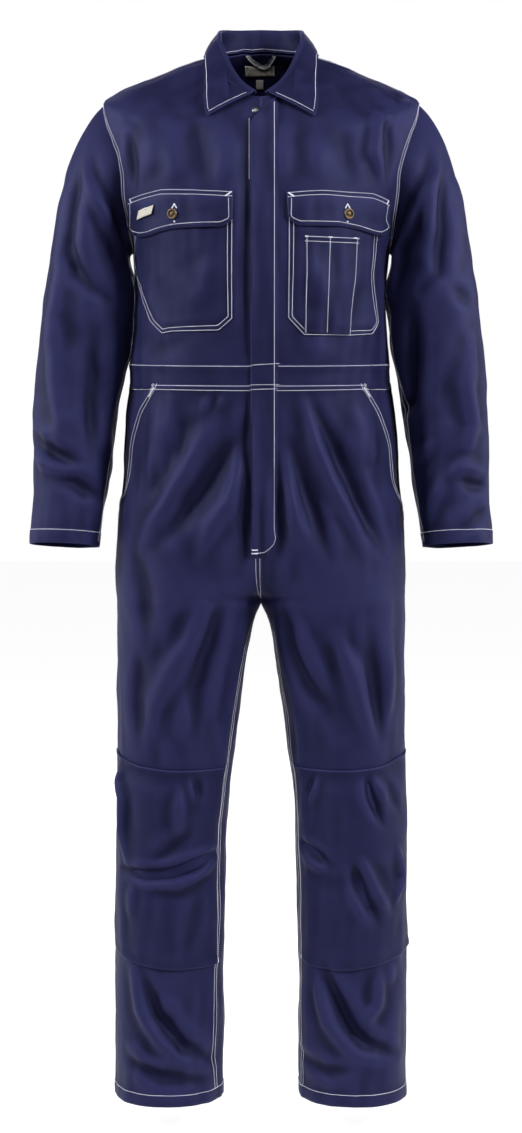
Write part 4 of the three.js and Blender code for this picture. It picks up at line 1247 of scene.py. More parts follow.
@dataclass(frozen=True)
class TwillFinish:
    """Navy cotton-rich twill: diagonal weave, puckered seams, pale rubbed edges, a soft sheen, and painted
    shade in fold hollows with ridges paled by wear and painted highlight.

    Attributes:
        name: The material's name.
        painted_hollow_shade: Painted shade, the colour in the hollows of folds.
        light: Colour on their ridges, paled partly as rubbed wear and partly as painted highlight.
        worn: Colour that shows where edges are rubbed.
        hollow: Depth at which the painted shade is deepest, in millimetres.
        ridge: Height at which the ridges are lightest, wear and painted highlight together.
        roughness: The cloth's roughness.
        rib: Width of a twill rib in metres.
        rib_turn: Angle of the ribs in degrees.
    """

    name: str = "navy_twill"
    painted_hollow_shade: Colour = (0.0026, 0.0027, 0.0125)
    light: Colour = (0.0155, 0.0158, 0.058)
    worn: Colour = (0.040, 0.040, 0.125)
    hollow: float = -2.5
    ridge: float = 3.3
    roughness: float = 0.6
    rib: float = 0.00085
    rib_turn: float = 62.0

    def make(self) -> bpy.types.Material:
        """Builds the material."""
        graph = Graph(self.name)
        place = graph.node("ShaderNodeTexCoord", {}, {}, "Object")
        uv = graph.node("ShaderNodeUVMap", {"uv_map": "cloth"}, {})
        edge = graph.node("ShaderNodeAttribute", {"attribute_name": "edge_distance"}, {}, "Fac")
        turned = graph.node("ShaderNodeMapping", {}, {
            "Vector": uv, "Rotation": (0, 0, math.radians(self.rib_turn)),
            "Scale": (1 / self.rib, 1 / self.rib, 1)})
        ribs = (graph.node("ShaderNodeSeparateXYZ", {}, {0: turned}, 0) * (2 * math.pi)).math("SINE")
        broad = graph.node("ShaderNodeTexNoise", {}, {"Vector": place, "Scale": 9.0, "Detail": 3.0}, 0)
        fine = graph.node("ShaderNodeTexNoise", {}, {"Vector": place, "Scale": 420.0, "Detail": 2.0}, 0)
        height = graph.node("ShaderNodeAttribute", {"attribute_name": "fold_relief"}, {}, "Fac")
        relief = graph.node("ShaderNodeMapRange", {"interpolation_type": "SMOOTHSTEP"}, {
            "Value": height, "From Min": self.hollow, "From Max": self.ridge, "To Min": 0.0, "To Max": 1.0})
        # Fold relief paints shade into the hollows and pales the ridges, partly as wear and partly as painted
        # highlight.
        painted_shade_and_wear_tone = graph.node("ShaderNodeMix", {"data_type": "RGBA"}, {
            0: relief * 0.8 + broad * 0.15 + fine * 0.05, 6: rgba(self.painted_hollow_shade), 7: rgba(self.light)}, 2)
        wear = graph.node("ShaderNodeMapRange", {}, {
            "Value": edge, "From Min": 0.0, "From Max": 0.0025, "To Min": 0.4, "To Max": 0.0})
        colour = graph.node("ShaderNodeMix", {"data_type": "RGBA"}, {0: wear, 6: painted_shade_and_wear_tone, 7: rgba(self.worn)}, 2)
        pucker = graph.node("ShaderNodeMapRange", {}, {
            "Value": edge, "From Min": 0.003, "From Max": 0.018, "To Min": 1.0, "To Max": 0.1})
        wrinkle = graph.node("ShaderNodeTexNoise", {}, {"Vector": place, "Scale": 95.0, "Detail": 2.0}, 0)
        bump = graph.node("ShaderNodeBump", {}, {
            "Strength": 0.4, "Distance": 0.0014, "Height": wrinkle * pucker})
        weave = graph.node("ShaderNodeBump", {}, {
            "Strength": 0.5, "Distance": 0.0001, "Height": ribs * 0.5 + fine, "Normal": bump})
        graph.set(Base_Color=colour, Roughness=self.roughness, Normal=weave,
                  Sheen_Weight=0.035, Sheen_Roughness=0.35, Sheen_Tint=(0.35, 0.38, 0.9, 1.0),
                  Specular_IOR_Level=0.26, Specular_Tint=(0.4, 0.45, 1.0, 1.0))
        return graph.material


@dataclass(frozen=True)
class ThreadFinish:
    """White sewing thread, twisted, mixed in patches with a duller lilac grey by noise."""

    name: str = "white_thread"
    pale: Colour = (0.88, 0.88, 0.95)
    dull: Colour = (0.52, 0.52, 0.64)

    def make(self) -> bpy.types.Material:
        """Builds the material."""
        graph = Graph(self.name)
        place = graph.node("ShaderNodeTexCoord", {}, {}, "Object")
        twist = graph.node("ShaderNodeTexNoise", {}, {"Vector": place, "Scale": 900.0, "Detail": 2.0}, 0)
        patchy = graph.node("ShaderNodeTexNoise", {}, {"Vector": place, "Scale": 60.0, "Detail": 1.0}, 0)
        colour = graph.node("ShaderNodeMix", {"data_type": "RGBA"}, {
            0: patchy * 0.6 + twist * 0.4, 6: rgba(self.dull), 7: rgba(self.pale)}, 2)
        bump = graph.node("ShaderNodeBump", {}, {"Strength": 0.5, "Distance": 0.0002, "Height": twist})
        graph.set(Base_Color=colour, Roughness=0.7, Normal=bump)
        return graph.material


@dataclass(frozen=True)
class MetalFinish:
    """Cast or pressed metal, darkened in its hollows and rubbed bright elsewhere.

    Attributes:
        name: The material's name.
        dark: Colour where the tarnish stays.
        bright: Colour where it is rubbed.
        roughness: The bright metal's roughness.
    """

    name: str
    dark: Colour
    bright: Colour
    roughness: float

    def make(self) -> bpy.types.Material:
        """Builds the material."""
        graph = Graph(self.name)
        place = graph.node("ShaderNodeTexCoord", {}, {}, "Object")
        spots = graph.node("ShaderNodeTexNoise", {}, {"Vector": place, "Scale": 320.0, "Detail": 4.0}, 0)
        ways = graph.node("ShaderNodeNewGeometry", {}, {}, "Pointiness")
        rubbed = graph.node("ShaderNodeMapRange", {}, {
            "Value": ways + spots * 0.12, "From Min": 0.5, "From Max": 0.64, "To Min": 0.0, "To Max": 1.0})
        colour = graph.node("ShaderNodeMix", {"data_type": "RGBA"}, {
            0: rubbed, 6: rgba(self.dark), 7: rgba(self.bright)}, 2)
        bump = graph.node("ShaderNodeBump", {}, {"Strength": 0.25, "Distance": 0.0002, "Height": spots})
        graph.set(Base_Color=colour, Metallic=1.0, Roughness=self.roughness + spots * 0.25, Normal=bump)
        return graph.material


@dataclass(frozen=True)
class TapeFinish:
    """Flat woven tape or label, with fine cross threads and dark threads where it has them.

    Attributes:
        name: The material's name.
        ground: Main colour.
        accent: Colour of the second threads.
        share: How much of the second threads shows, from 0 to 1.
        pitch: Length of one repeat of the second threads.
    """

    name: str
    ground: Colour
    accent: Colour
    share: float
    pitch: float = 0.0028

    def make(self) -> bpy.types.Material:
        """Builds the material."""
        graph = Graph(self.name)
        uv = graph.node("ShaderNodeUVMap", {"uv_map": "cloth"}, {})
        place = graph.node("ShaderNodeTexCoord", {}, {}, "Object")
        scaled = graph.node("ShaderNodeMapping", {}, {
            "Vector": uv, "Rotation": (0, 0, math.radians(28)), "Scale": (1 / self.pitch, 1 / self.pitch, 1)})
        across = graph.node("ShaderNodeSeparateXYZ", {}, {0: scaled}, 0)
        along = graph.node("ShaderNodeSeparateXYZ", {}, {0: scaled}, 1)
        wave = (along * (2 * math.pi)).math("SINE") * (across * (2 * math.pi)).math("SINE")
        mask = (wave + (2 * self.share - 1)).math("GREATER_THAN", 0.0)
        fuzz = graph.node("ShaderNodeTexNoise", {}, {"Vector": place, "Scale": 800.0, "Detail": 2.0}, 0)
        ground = graph.node("ShaderNodeMix", {"data_type": "RGBA"}, {
            0: fuzz * 0.5, 6: rgba(self.ground), 7: rgba(tuple(0.6 * c for c in self.ground))}, 2)
        colour = graph.node("ShaderNodeMix", {"data_type": "RGBA"}, {
            0: mask, 6: ground, 7: rgba(self.accent)}, 2)
        bump = graph.node("ShaderNodeBump", {}, {
            "Strength": 0.5, "Distance": 0.0002, "Height": (along * (8 * math.pi)).math("SINE") + fuzz})
        graph.set(Base_Color=colour, Roughness=0.75, Normal=bump)
        return graph.material


# Pieces
class Held(Enum):
    HUNG = "hung"
    FOLDED = "folded"


def dress(panel: Panel, node: str, finish: bpy.types.Material, held: Held = Held.HUNG) -> bpy.types.Object:
    """Args:
        panel: The cloth.
        node: The solid that it stands for.
        finish: Its material.
        held: How it is held; not used.

    Returns:
        The finished piece.
    """
    obj = panel.build()
    obj.data.materials.append(finish)
    width, length, area = panel.cut()
    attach(obj, "root")
    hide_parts(node)
    LOG.info("%s: cut %.0f x %.0f mm, %.4f m2, %d faces", panel.name, width / MM, length / MM, area,
             len(obj.data.polygons))
    return obj


SIDES = (("left", 1), ("right", -1))
SEAM_LINES = (2.0, 8.5)


@dataclass
class Bodice:
    """Fronts and back above the waistband, the back wrapping over to the shoulder seams."""

    finish: bpy.types.Material
    thread: Thread
    under_waist: float = 0.12
    centre_stitch: float = 16.8
    front_columns: int = 62
    back_columns: int = 60

    def build(self) -> list[bpy.types.Object]:
        """Makes the three panels."""
        return [*(self.front(name, side) for name, side in SIDES), self.back()]

    def rows(self, angle: float) -> Array:
        """Gives even rows from just under the waistband to the neck."""
        return even_rows(TRUNK_FORM, WAIST_TOP_ROW - self.under_waist, NECK_ROW, angle)

    def sew_sides(self, panel: Panel, rows: Array, edge: Edge) -> None:
        """Sews the side and the armhole beside one edge of a panel."""
        for inset in SEAM_LINES:
            for low, high in ((WAIST_TOP_ROW + 0.1, ARMPIT_ROW), (ARMPIT_ROW + 0.1, TIP_ROW)):
                self.thread.sew("bodice", panel.along(edge, inset, share_at(rows, low), share_at(rows, high)))

    def front(self, name: str, side: int) -> bpy.types.Object:
        """Makes one front."""
        rows = self.rows(60)
        start = TRUNK_FORM.slit_angle(rows, side)
        grid = body_grid(TRUNK_FORM, rows, start, np.full_like(rows, 90), side, self.front_columns)
        panel = Panel(f"bodice_front_{name}_cloth", *grid)
        panel.lap((Edge.START,))
        self.sew_sides(panel, rows, Edge.START)
        for inset in SEAM_LINES:
            self.thread.sew("bodice", panel.along(Edge.START, inset, share_at(rows, TIP_ROW + 0.1)))
        if side < 0:
            height = np.arange(-112.0, -200.0, -4.0)
            self.thread.sew("bodice", Run(*on_body(np.full_like(height, -self.centre_stitch), height)))
        return dress(panel, f"bodice_front_{name}", self.finish)

    def back(self) -> bpy.types.Object:
        """Makes the back in one piece."""
        rows = self.rows(-60)

        def end(side: int) -> Array:
            """Gives the back's edge, laid a little under the front at the sides and shoulders."""
            slit = -TRUNK_FORM.slit_angle(rows, side)
            return np.where(slit > -0.5, UNDERLAP, slit)

        panel = Panel("bodice_back_cloth", *both_halves(TRUNK_FORM, rows, end, self.back_columns))
        armhole = (rows > ARMPIT_ROW) & (rows < TIP_ROW)
        near = panel.near(Edge.START, Edge.END)
        panel.lift(np.where(armhole[:, None], 1.1 * (1 - smooth(near, 7, 12)), 0))
        for edge in (Edge.START, Edge.END):
            self.sew_sides(panel, rows, edge)
        return dress(panel, "bodice_back", self.finish)


@dataclass
class Waistband:
    """The band between bodice and legs, over the bodice and under the legs."""

    finish: bpy.types.Material
    thread: Thread
    under_legs: float = 0.1
    top_line: float = 2.0
    row_step: float = 3.5
    front_columns: int = 62
    back_columns: int = 60
    line_ends: tuple[float, float] = (0.94, 0.965)

    def build(self) -> list[bpy.types.Object]:
        """Makes both fronts and the back."""
        rows = even_rows(TRUNK_FORM, -self.under_legs, WAIST_TOP_ROW, 60, self.row_step)
        start, end = np.zeros_like(rows), np.full_like(rows, 90)
        made = []
        for (name, side), line_end in zip(SIDES, self.line_ends):
            grid = body_grid(TRUNK_FORM, rows, start, end, side, self.front_columns)
            made.append(self.finish_band(f"waist_front_{name}", grid, line_end))
        grid = both_halves(TRUNK_FORM, rows, lambda side: np.full_like(rows, UNDERLAP), self.back_columns)
        return [*made, self.finish_band("waist_back", grid, 1.0)]

    def finish_band(self, node: str, grid: tuple[Array, Array], line_end: float) -> bpy.types.Object:
        """Raises a band's top edge over the bodice and sews it as far as a share of its columns."""
        panel = Panel(f"{node}_cloth", *grid)
        panel.lap((Edge.LAST,), rise=1.2, width=9)
        self.thread.sew("waist", panel.along(Edge.LAST, self.top_line, 0.0, line_end))
        return dress(panel, node, self.finish)


@dataclass
class Legs:
    """Fronts and backs of both legs with the facings behind the hip openings."""

    finish: bpy.types.Material
    thread: Thread
    over_waist: float = 0.08
    facing_depth: float = 3.0
    hem: float = 18.0
    rise_height: float = -738.0
    tack_inset: float = 5.2
    front_columns: int = 58
    back_columns: int = 62
    facing_columns: int = 24
    waist_line_ends: tuple[float, float] = (0.915, 0.95)
    inseam_shift: Path = ((9.3, 14, 18.5, 19.5, 21.5, 22.7, 23), (0, 13, 13, 19, 22, 14, 13))

    def build(self) -> list[bpy.types.Object]:
        """Makes six pieces."""
        return [piece for name, side in SIDES
                for piece in (self.front(name, side), self.back(name, side), self.facing(name, side))]

    def fold_hem(self, panel: Panel) -> None:
        """Thickens the turned-up hem and sews it."""
        panel.lift(0.9 * (1 - smooth(panel.distance(Edge.LAST), self.hem - 1.0, self.hem + 1.5)))
        self.thread.sew("legs", panel.along(Edge.LAST, self.hem))

    def front(self, name: str, side: int) -> bpy.types.Object:
        """Makes a leg's front, cut away at the hip opening."""
        rows = even_rows(LEG_FORM, -self.over_waist, HEM_ROW, 60)
        start = np.where(rows < POCKET_END_ROW, LEG_FORM.slit_angle(np.maximum(rows, 0), side), 0)
        end = LEG.read("frontSpan", rows)
        panel = Panel(f"leg_front_{name}_cloth",
                      *body_grid(LEG_FORM, rows, start, end, side, self.front_columns))
        panel.lap((Edge.START, Edge.FIRST))
        rise = smooth(rows, CROTCH_ROW - 0.6, CROTCH_ROW + 0.6)[:, None]
        panel.lift(rise * 1.1 * (1 - smooth(panel.distance(Edge.END), 7, 12)))
        self.fold_hem(panel)
        if side < 0:
            seam_top = share_at(-panel.points[:, -1, 2], -self.rise_height)
            shift = np.interp(rows, *self.inseam_shift)
        else:
            seam_top = share_at(rows, CROTCH_ROW + 0.05)
            shift = 1.0
        for inset in SEAM_LINES:
            self.thread.sew("legs", panel.along(Edge.START, inset, 0.0, SEAM_END),
                            panel.along(Edge.END, inset + shift, seam_top, SEAM_END))
            line_end = self.waist_line_ends[side < 0]
            self.thread.sew("waist", panel.along(Edge.FIRST, inset - 0.4, 0.0, line_end))
        pocket_end = share_at(rows, POCKET_END_ROW + 0.2)
        self.thread.tack("legs", panel.along(Edge.START, self.tack_inset, 0.004, 0.016),
                         panel.along(Edge.START, self.tack_inset, pocket_end, pocket_end + 0.012))
        return dress(panel, f"leg_front_{name}", self.finish)

    def back(self, name: str, side: int) -> bpy.types.Object:
        """Makes a leg's back."""
        rows = even_rows(LEG_FORM, -self.over_waist, HEM_ROW, -60)
        end = -(LEG_FORM.back_span(rows) + 1.5 * smooth(rows, CROTCH_ROW - 0.1, CROTCH_ROW + 0.3))
        grid = body_grid(LEG_FORM, rows, np.full_like(rows, UNDERLAP), end, side, self.back_columns)
        panel = Panel(f"leg_back_{name}_cloth", *grid)
        panel.lap((Edge.FIRST,))
        self.fold_hem(panel)
        crotch = share_at(rows, CROTCH_ROW - 0.1)
        for inset in SEAM_LINES:
            self.thread.sew("waist", panel.along(Edge.FIRST, inset - 0.4))
            if side > 0:
                self.thread.sew("legs", panel.along(Edge.END, inset, 0.0, crotch))
        return dress(panel, f"leg_back_{name}", self.finish)

    def facing(self, name: str, side: int) -> bpy.types.Object:
        """Makes the cloth seen inside a hip opening."""
        rows = even_rows(LEG_FORM, -self.over_waist, POCKET_END_ROW + 0.3, 40)
        end = LEG_FORM.slit_angle(np.clip(rows, 0, POCKET_END_ROW), side) + 12
        start = np.full_like(rows, -1.5)
        grid = body_grid(LEG_FORM, rows, start, end, side, self.facing_columns, -self.facing_depth)
        panel = Panel(f"hip_facing_{name}_cloth", *grid)
        for inset in SEAM_LINES:
            self.thread.sew("waist", panel.along(Edge.FIRST, inset - 0.4, 0.08, 0.8))
        return dress(panel, f"hip_facing_{name}", self.finish)


@dataclass
class Sleeves:
    """Both sleeves, set in under the armhole's edge."""

    finish: bpy.types.Material
    thread: Thread
    hem: float = 20.0
    seam_angle: float = 172.0
    seam_top_row: int = 26

    def build(self) -> list[bpy.types.Object]:
        """Makes both sleeves."""
        return [self.sleeve(name, side) for name, side in SIDES]

    def sleeve(self, name: str, side: int) -> bpy.types.Object:
        """Makes a sleeve with its seam and cuff sewn."""
        rows = np.concatenate([[-1.05], np.linspace(-1, 0, 32), np.linspace(0, CUFF_ROW, 94)[1:]])
        panel = Panel(f"sleeve_{name}_cloth", *SleeveForm(side).grid(rows), wrap=True)
        columns = panel.points.shape[1]
        panel.lift(np.broadcast_to(-0.9 * (1 - smooth(rows, -1, -0.9))[:, None], (len(rows), columns)))
        panel.lift(0.9 * (1 - smooth(panel.distance(Edge.LAST), self.hem - 1.0, self.hem + 1.5)))
        cuff = panel.along(Edge.LAST, self.hem)
        self.thread.sew("sleeves", Run.join(cuff, cuff.pick([0])))
        for turned in (0.0, 5.2):
            column = round((self.seam_angle - turned) / 360 * columns)
            kept = slice(self.seam_top_row, len(rows) - 4)
            self.thread.sew("sleeves", Run(panel.points[kept, column], panel.normals[kept, column]))
        return dress(panel, f"sleeve_{name}", self.finish)


@dataclass
class Collar:
    """Shirt collar in one folded strip: stand, roll and leaf."""

    finish: bpy.types.Material
    thread: Thread
    fold_radius: float = 3.2
    leaf_height: float = 4.6
    leaf_reach: float = 22.0
    stitch_inset: float = 5.5

    def build(self) -> list[bpy.types.Object]:
        """Makes the collar."""
        stations = np.linspace(0, COLLAR.last, 64)
        left, right = (np.stack([self.profile(s, side) for s in stations]) for side in (1, -1))
        points = self.clear_of_yoke(np.concatenate([right[:0:-1], left]))
        along = np.gradient(points, axis=0)
        across = np.gradient(points, axis=1)
        panel = Panel("collar_cloth", points, unit(np.cross(along, across)), thick=PATCH_THICKNESS)
        panel.lift(0.35 * smooth(panel.near(Edge.FIRST, Edge.LAST, Edge.END), 0, 3.5))
        self.thread.sew("collar", panel.along(Edge.END, self.stitch_inset).pick(slice(3, -3)))
        for edge in (Edge.FIRST, Edge.LAST):
            self.thread.sew("collar", panel.along(edge, self.stitch_inset, 0.26, 0.93))
        self.thread.sew("collar", panel.along(Edge.START, 4.0, 0.2, 0.8))
        return [dress(panel, "collar", self.finish, Held.FOLDED)]

    def clear_of_yoke(self, points: Array) -> Array:
        """Raises the leaf where it would sink into the shoulders."""
        rows = np.linspace(12, NECK_ROW, 60)
        angles = np.linspace(-90, 90, 90)
        angle, row = np.meshgrid(angles, rows)
        grids = [TRUNK_FORM.place(angle, row, side) for side in (1, -1)]
        body = np.concatenate([grid[0].reshape(-1, 3) for grid in grids])
        ways = np.concatenate([grid[1].reshape(-1, 3) for grid in grids])
        tree = KDTree(len(body))
        for number, spot in enumerate(body):
            tree.insert(spot, number)
        tree.balance()
        half = points.shape[1] // 2
        raised = points.copy()
        for i, j in np.ndindex(points.shape[0], points.shape[1] - half):
            spot = points[i, half + j]
            _, number, gap = tree.find(spot)
            height = float((spot - body[number]) @ ways[number])
            if gap < self.leaf_reach and height < self.leaf_height:
                raised[i, half + j] = spot + ways[number] * (self.leaf_height - height)
        return raised

    def profile(self, station: float, side: int) -> Array:
        """Gives the collar's section at a station, from the neck seam to the leaf's edge."""
        seam = TRUNK_FORM.place(COLLAR.read("seam", station), NECK_ROW, side)[0] + [0, 0, 2.9]
        roll = np.array([side * COLLAR.read("rollX", station), COLLAR.read("rollY", station),
                         COLLAR.read("rollZ", station)])
        edge = TRUNK_FORM.place(COLLAR.read("edge", station), COLLAR.read("row", station), side, 3.6)[0]
        apart = unit((edge - seam) * [1, 1, 0])
        drop = np.array([0, 0, self.fold_radius])
        inward, outward = roll - apart * self.fold_radius - drop, roll + apart * self.fold_radius - drop
        bend = [roll + apart * self.fold_radius * math.sin(t) - drop * (1 - math.cos(t))
                for t in np.radians((-60, -30, 0, 30, 60))]
        leaf = [outward + (edge - outward) * t + apart * 3 * math.sin(math.pi * t)
                for t in np.linspace(0.12, 0.9, 7)]
        return resample(np.array([seam, (seam + inward) / 2, inward, *bend, outward, *leaf, edge]), 44)


@dataclass(frozen=True)
class Outline:
    """Four edges of a piece sewn on the chest, x from the middle outwards.

    Attributes:
        top: Points of the upper edge.
        bottom: Points of the lower edge.
        outer: Points of the outer edge from the bottom up, or none where it is straight.
        radius: Size of the cylinder on which the piece is laid out flat.
    """

    top: Path
    bottom: Path
    outer: Path = ()
    radius: float = 212.0

    def flat(self, path: Path) -> Array:
        """Gives points laid out flat."""
        points = np.array(path, float)
        return np.stack([self.radius * np.arcsin(points[:, 0] / self.radius), points[:, 1]], axis=-1)

    def grid(self, step: float = 2.8) -> tuple[Array, Array]:
        """Gives x and z of a grid that fills the outline."""
        top, bottom = self.flat(self.top), self.flat(self.bottom)
        inner = np.array([top[0], bottom[0]])
        outer = self.flat(self.outer)[::-1] if self.outer else np.array([top[-1], bottom[-1]])
        columns, rows = (max(4, round(arc(line, 0)[-1] / step) + 1) for line in (top, outer))
        top, bottom = (resample(line, columns)[None] for line in (top, bottom))
        inner, outer = (resample(line, rows)[:, None] for line in (inner, outer))
        u, v = np.linspace(0, 1, columns)[None, :, None], np.linspace(0, 1, rows)[:, None, None]
        ends = ((1 - u) * (1 - v) * top[:, :1] + u * (1 - v) * top[:, -1:]
                + (1 - u) * v * bottom[:, :1] + u * v * bottom[:, -1:])
        laid = (1 - v) * top + v * bottom + (1 - u) * inner + u * outer - ends
        return self.radius * np.sin(laid[..., 0] / self.radius), laid[..., 1]

    def panel(self, name: str, side: int, thick: float = CLOTH_THICKNESS) -> Panel:
        """Lays the outline on one side of the body."""
        x, z = self.grid()
        return Panel(name, *on_body(x * side, z), thick=thick)


FLAPS = {
    -1: Outline(((39, -216), (100, -212), (141, -210), (160, -213), (189, -219)),
                ((40, -255), (46, -261), (57, -266), (97, -266), (123, -267), (142, -270), (158, -274),
                 (172, -274), (183, -269), (190, -260))),
    1: Outline(((36, -217), (87, -213), (126, -214), (160, -214), (185, -222)),
               ((38, -251), (44, -260), (55, -265), (111, -264), (136, -267), (161, -272), (170, -272),
                (180, -266), (186, -257)),
               ((186, -257), (181, -247), (185, -222))),
}
BAGS = {
    -1: Outline(((39, -228), (100, -226), (145, -226), (186, -236)),
                ((40, -395), (60, -412.5), (128, -412.5), (142, -415)),
                ((142, -415), (160, -396), (171, -368), (183, -326), (186, -299), (184, -268), (186, -236))),
    1: Outline(((38, -228), (100, -226), (140, -226), (170, -234)),
               ((38, -394), (61, -418.5), (126, -418.5), (159, -415)),
               ((159, -415), (169, -396), (166, -376), (164, -329), (168, -272), (170, -234))),
}
PEN_POCKET = Outline(((62.5, -278), (100, -278.5), (138, -278)), ((61.5, -413), (95, -415.5), (128, -415.5)),
                     ((128, -415.5), (133.5, -340), (138, -278)))
FLAP_TAB = Outline(((149, -232), (171, -238)), ((151, -244), (173, -250)))


@dataclass
class ChestPockets:
    """Chest pocket bags, their flaps, the pen pocket and the small bare tab."""

    finish: bpy.types.Material
    pale: bpy.types.Material
    thread: Thread
    seated: float = 1.1
    full: float = 1.5
    flap_rise: float = 2.9
    flap_spring: float = 2.2
    flap_wave: float = 74.0
    button_place: float = 123.0
    tab_rise: float = 6.9

    def build(self) -> list[bpy.types.Object]:
        """Makes six pieces."""
        made = [piece for name, side in SIDES for piece in (self.bag(name, side), self.flap(name, side))]
        return [*made, self.pen(), self.tab()]

    def bag(self, name: str, side: int) -> bpy.types.Object:
        """Makes a pocket bag with mitred corners."""
        panel = BAGS[side].panel(f"chest_pocket_{name}_cloth", side)
        near = panel.near(Edge.START, Edge.END, Edge.LAST)
        puff = 0.45 * np.sin(math.pi * np.clip((near - 2) / 6.5, 0, 1)) ** 2
        panel.lift(self.seated + puff + self.full * smooth(near, 8.5, 20))
        for inset in SEAM_LINES:
            self.thread.sew("chest", panel.around(inset, 20))
        return dress(panel, f"chest_pocket_{name}", self.finish)

    def flap(self, name: str, side: int) -> bpy.types.Object:
        """Makes a flap, free at its lower edge and held in the middle by its button."""
        panel = FLAPS[side].panel(f"chest_flap_{name}_cloth", side, PATCH_THICKNESS)
        down, up = panel.distance(Edge.FIRST), panel.distance(Edge.LAST)
        from_button = np.abs(panel.points[..., 0]) - self.button_place
        wave = 0.5 + 0.5 * np.cos(from_button * (2 * math.pi / self.flap_wave))
        spring = self.flap_spring * (1 - 0.85 * wave) * (1 - smooth(up, 0, 26))
        panel.lift(1.6 + self.flap_rise * smooth(down, 1.5, 11) + spring)
        top = [panel.along(Edge.FIRST, inset, 0.01, 0.99) for inset in (1.5, 8.0)]
        self.thread.sew("chest", *top, panel.around(6.5, 8.5))
        for high, low in ((0, 3), (-1, -4)):
            self.thread.tack("chest", Run.join(top[0].pick([high]), top[1].pick([low])))
        hole = self.button_place * side
        self.thread.tack("chest", panel.over((hole - 3.2, -238.5), (hole, -232.5), step=2),
                         panel.over((hole, -232.5), (hole + 3.2, -238.5), step=2),
                         panel.over((hole - 0.8, -257), (hole + 0.8, -258), step=1))
        return dress(panel, f"chest_flap_{name}", self.finish)

    def pen(self) -> bpy.types.Object:
        """Makes the divided pen pocket on the left bag."""
        panel = PEN_POCKET.panel("pen_pocket_cloth", 1)
        near = panel.near(Edge.START, Edge.END)
        middle = np.abs(panel.points[..., 0] - np.interp(panel.points[..., 2], (-417, -280), (94.5, 98.5)))
        low = 1 - smooth(panel.distance(Edge.LAST), 2, 18)
        full = 1.1 * smooth(np.minimum(near, middle), 0.5, 12) * smooth(panel.distance(Edge.FIRST), -30, 20)
        mouth = 0.7 * (1 - smooth(panel.distance(Edge.FIRST), 0, 9))
        panel.lift(self.seated + self.full + 1.0 - 1.25 * low + full + mouth)
        self.thread.sew("chest", panel.along(Edge.FIRST, 1.5), panel.along(Edge.FIRST, 8.0),
                        panel.along(Edge.START, 2.0, 0.03), panel.along(Edge.END, 2.0, 0.03),
                        panel.over((98.5, -280), (96.5, -340), (94.5, -412)))
        self.thread.tack("chest", panel.over((62.5, -279.5), (66.5, -279.5), step=1),
                         panel.over((96, -280), (101, -280), step=1),
                         panel.over((133, -279.5), (137, -279.5), step=1))
        return dress(panel, "pen_pocket", self.finish)

    def tab(self) -> bpy.types.Object:
        """Makes the small bare tab that hangs on the right flap."""
        x, z = FLAP_TAB.grid(2.0)
        panel = Panel("flap_tab_cloth", *on_body(-x, z, self.tab_rise), thick=TAPE_THICKNESS)
        panel.lift(1.2 * smooth(panel.distance(Edge.FIRST), 2, 12))
        self.thread.tack("chest", panel.along(Edge.FIRST, 1.0, 0.4, 0.6))
        return dress(panel, "flap_tab", self.pale)


@dataclass
class KneePockets:
    """Knee pad pockets round the front of each leg, bulging and creased."""

    finish: bpy.types.Material
    thread: Thread
    first_angle: float = 3.0
    last_angle: tuple[float, float] = (157.0, 148.5)
    seated: float = 1.4
    knee_share: float = 0.56
    columns: int = 92
    rows: int = 90

    def build(self) -> list[bpy.types.Object]:
        """Makes both pockets."""
        return [self.pocket(name, side) for name, side in SIDES]

    def folds(self, side: int) -> CreaseField:
        """Finds the pocket's own folds in space."""
        def locate(x: Array, z: Array, face: Face) -> Array:
            """Finds points on the plain leg."""
            return LEG_FORM.base(*LEG_FORM.locate(x, z, 1, face))

        return CreaseField.find(KNEE_CREASES, side, locate)

    def bulge(self, across: Array, share: Array) -> Array:
        """Gives the height of the filled pocket over the leg."""
        dent = 4.5 * np.exp(-((share - self.knee_share) / 0.07) ** 2)
        height = np.sin(math.pi * across) * (4 + 4 * np.sin(math.pi * share) - dent)
        return np.maximum(0, height * smooth(share, 0, 0.12) * (1 - 0.6 * smooth(share, 0.93, 1.0)))

    def pocket(self, name: str, side: int) -> bpy.types.Object:
        """Makes one pocket."""
        last = self.last_angle[side < 0]
        angles = np.linspace(self.first_angle, last, self.columns)
        place = np.interp(angles, KNEE_POCKET.columns["angle"], np.arange(KNEE_POCKET.last + 1))
        top, bottom = KNEE_POCKET.read("top", place)[None], KNEE_POCKET.read("bottom", place)[None]
        share = np.linspace(0, 1, self.rows)[:, None]
        height = top + (bottom - top) * share
        angle = np.broadcast_to(angles, height.shape)
        row = LEG_FORM.row_at(angle, height)
        across = (angle - self.first_angle) / (last - self.first_angle)
        panel = Panel(f"knee_pocket_{name}_cloth", *LEG_FORM.place(angle, row, side))
        panel.lift(self.seated + self.bulge(across, share))
        panel.lift(self.folds(side).height(LEG_FORM.base(angle, row)) * smooth(share, 0.0, 0.1))
        foot, mouth = panel.distance(Edge.LAST), panel.distance(Edge.FIRST)
        panel.lift(2.2 * (1 - smooth(foot, 0, 16)) * (0.6 + 0.4 * np.sin(across * 9 + side)))
        panel.lift(0.9 * (1 - smooth(mouth, 1, 9)))
        for edge in (Edge.START, Edge.END):
            self.thread.sew("knees", panel.along(edge, SEAM_LINES[0], 0.0, SEAM_END))
            self.thread.tack("knees", panel.along(edge, SEAM_LINES[0], 0.975))
        return dress(panel, f"knee_pocket_{name}", self.finish)


WAIST_LINES = ((-460.5, -458.0), (-488.5, -488.0), (-495.0, -494.0))


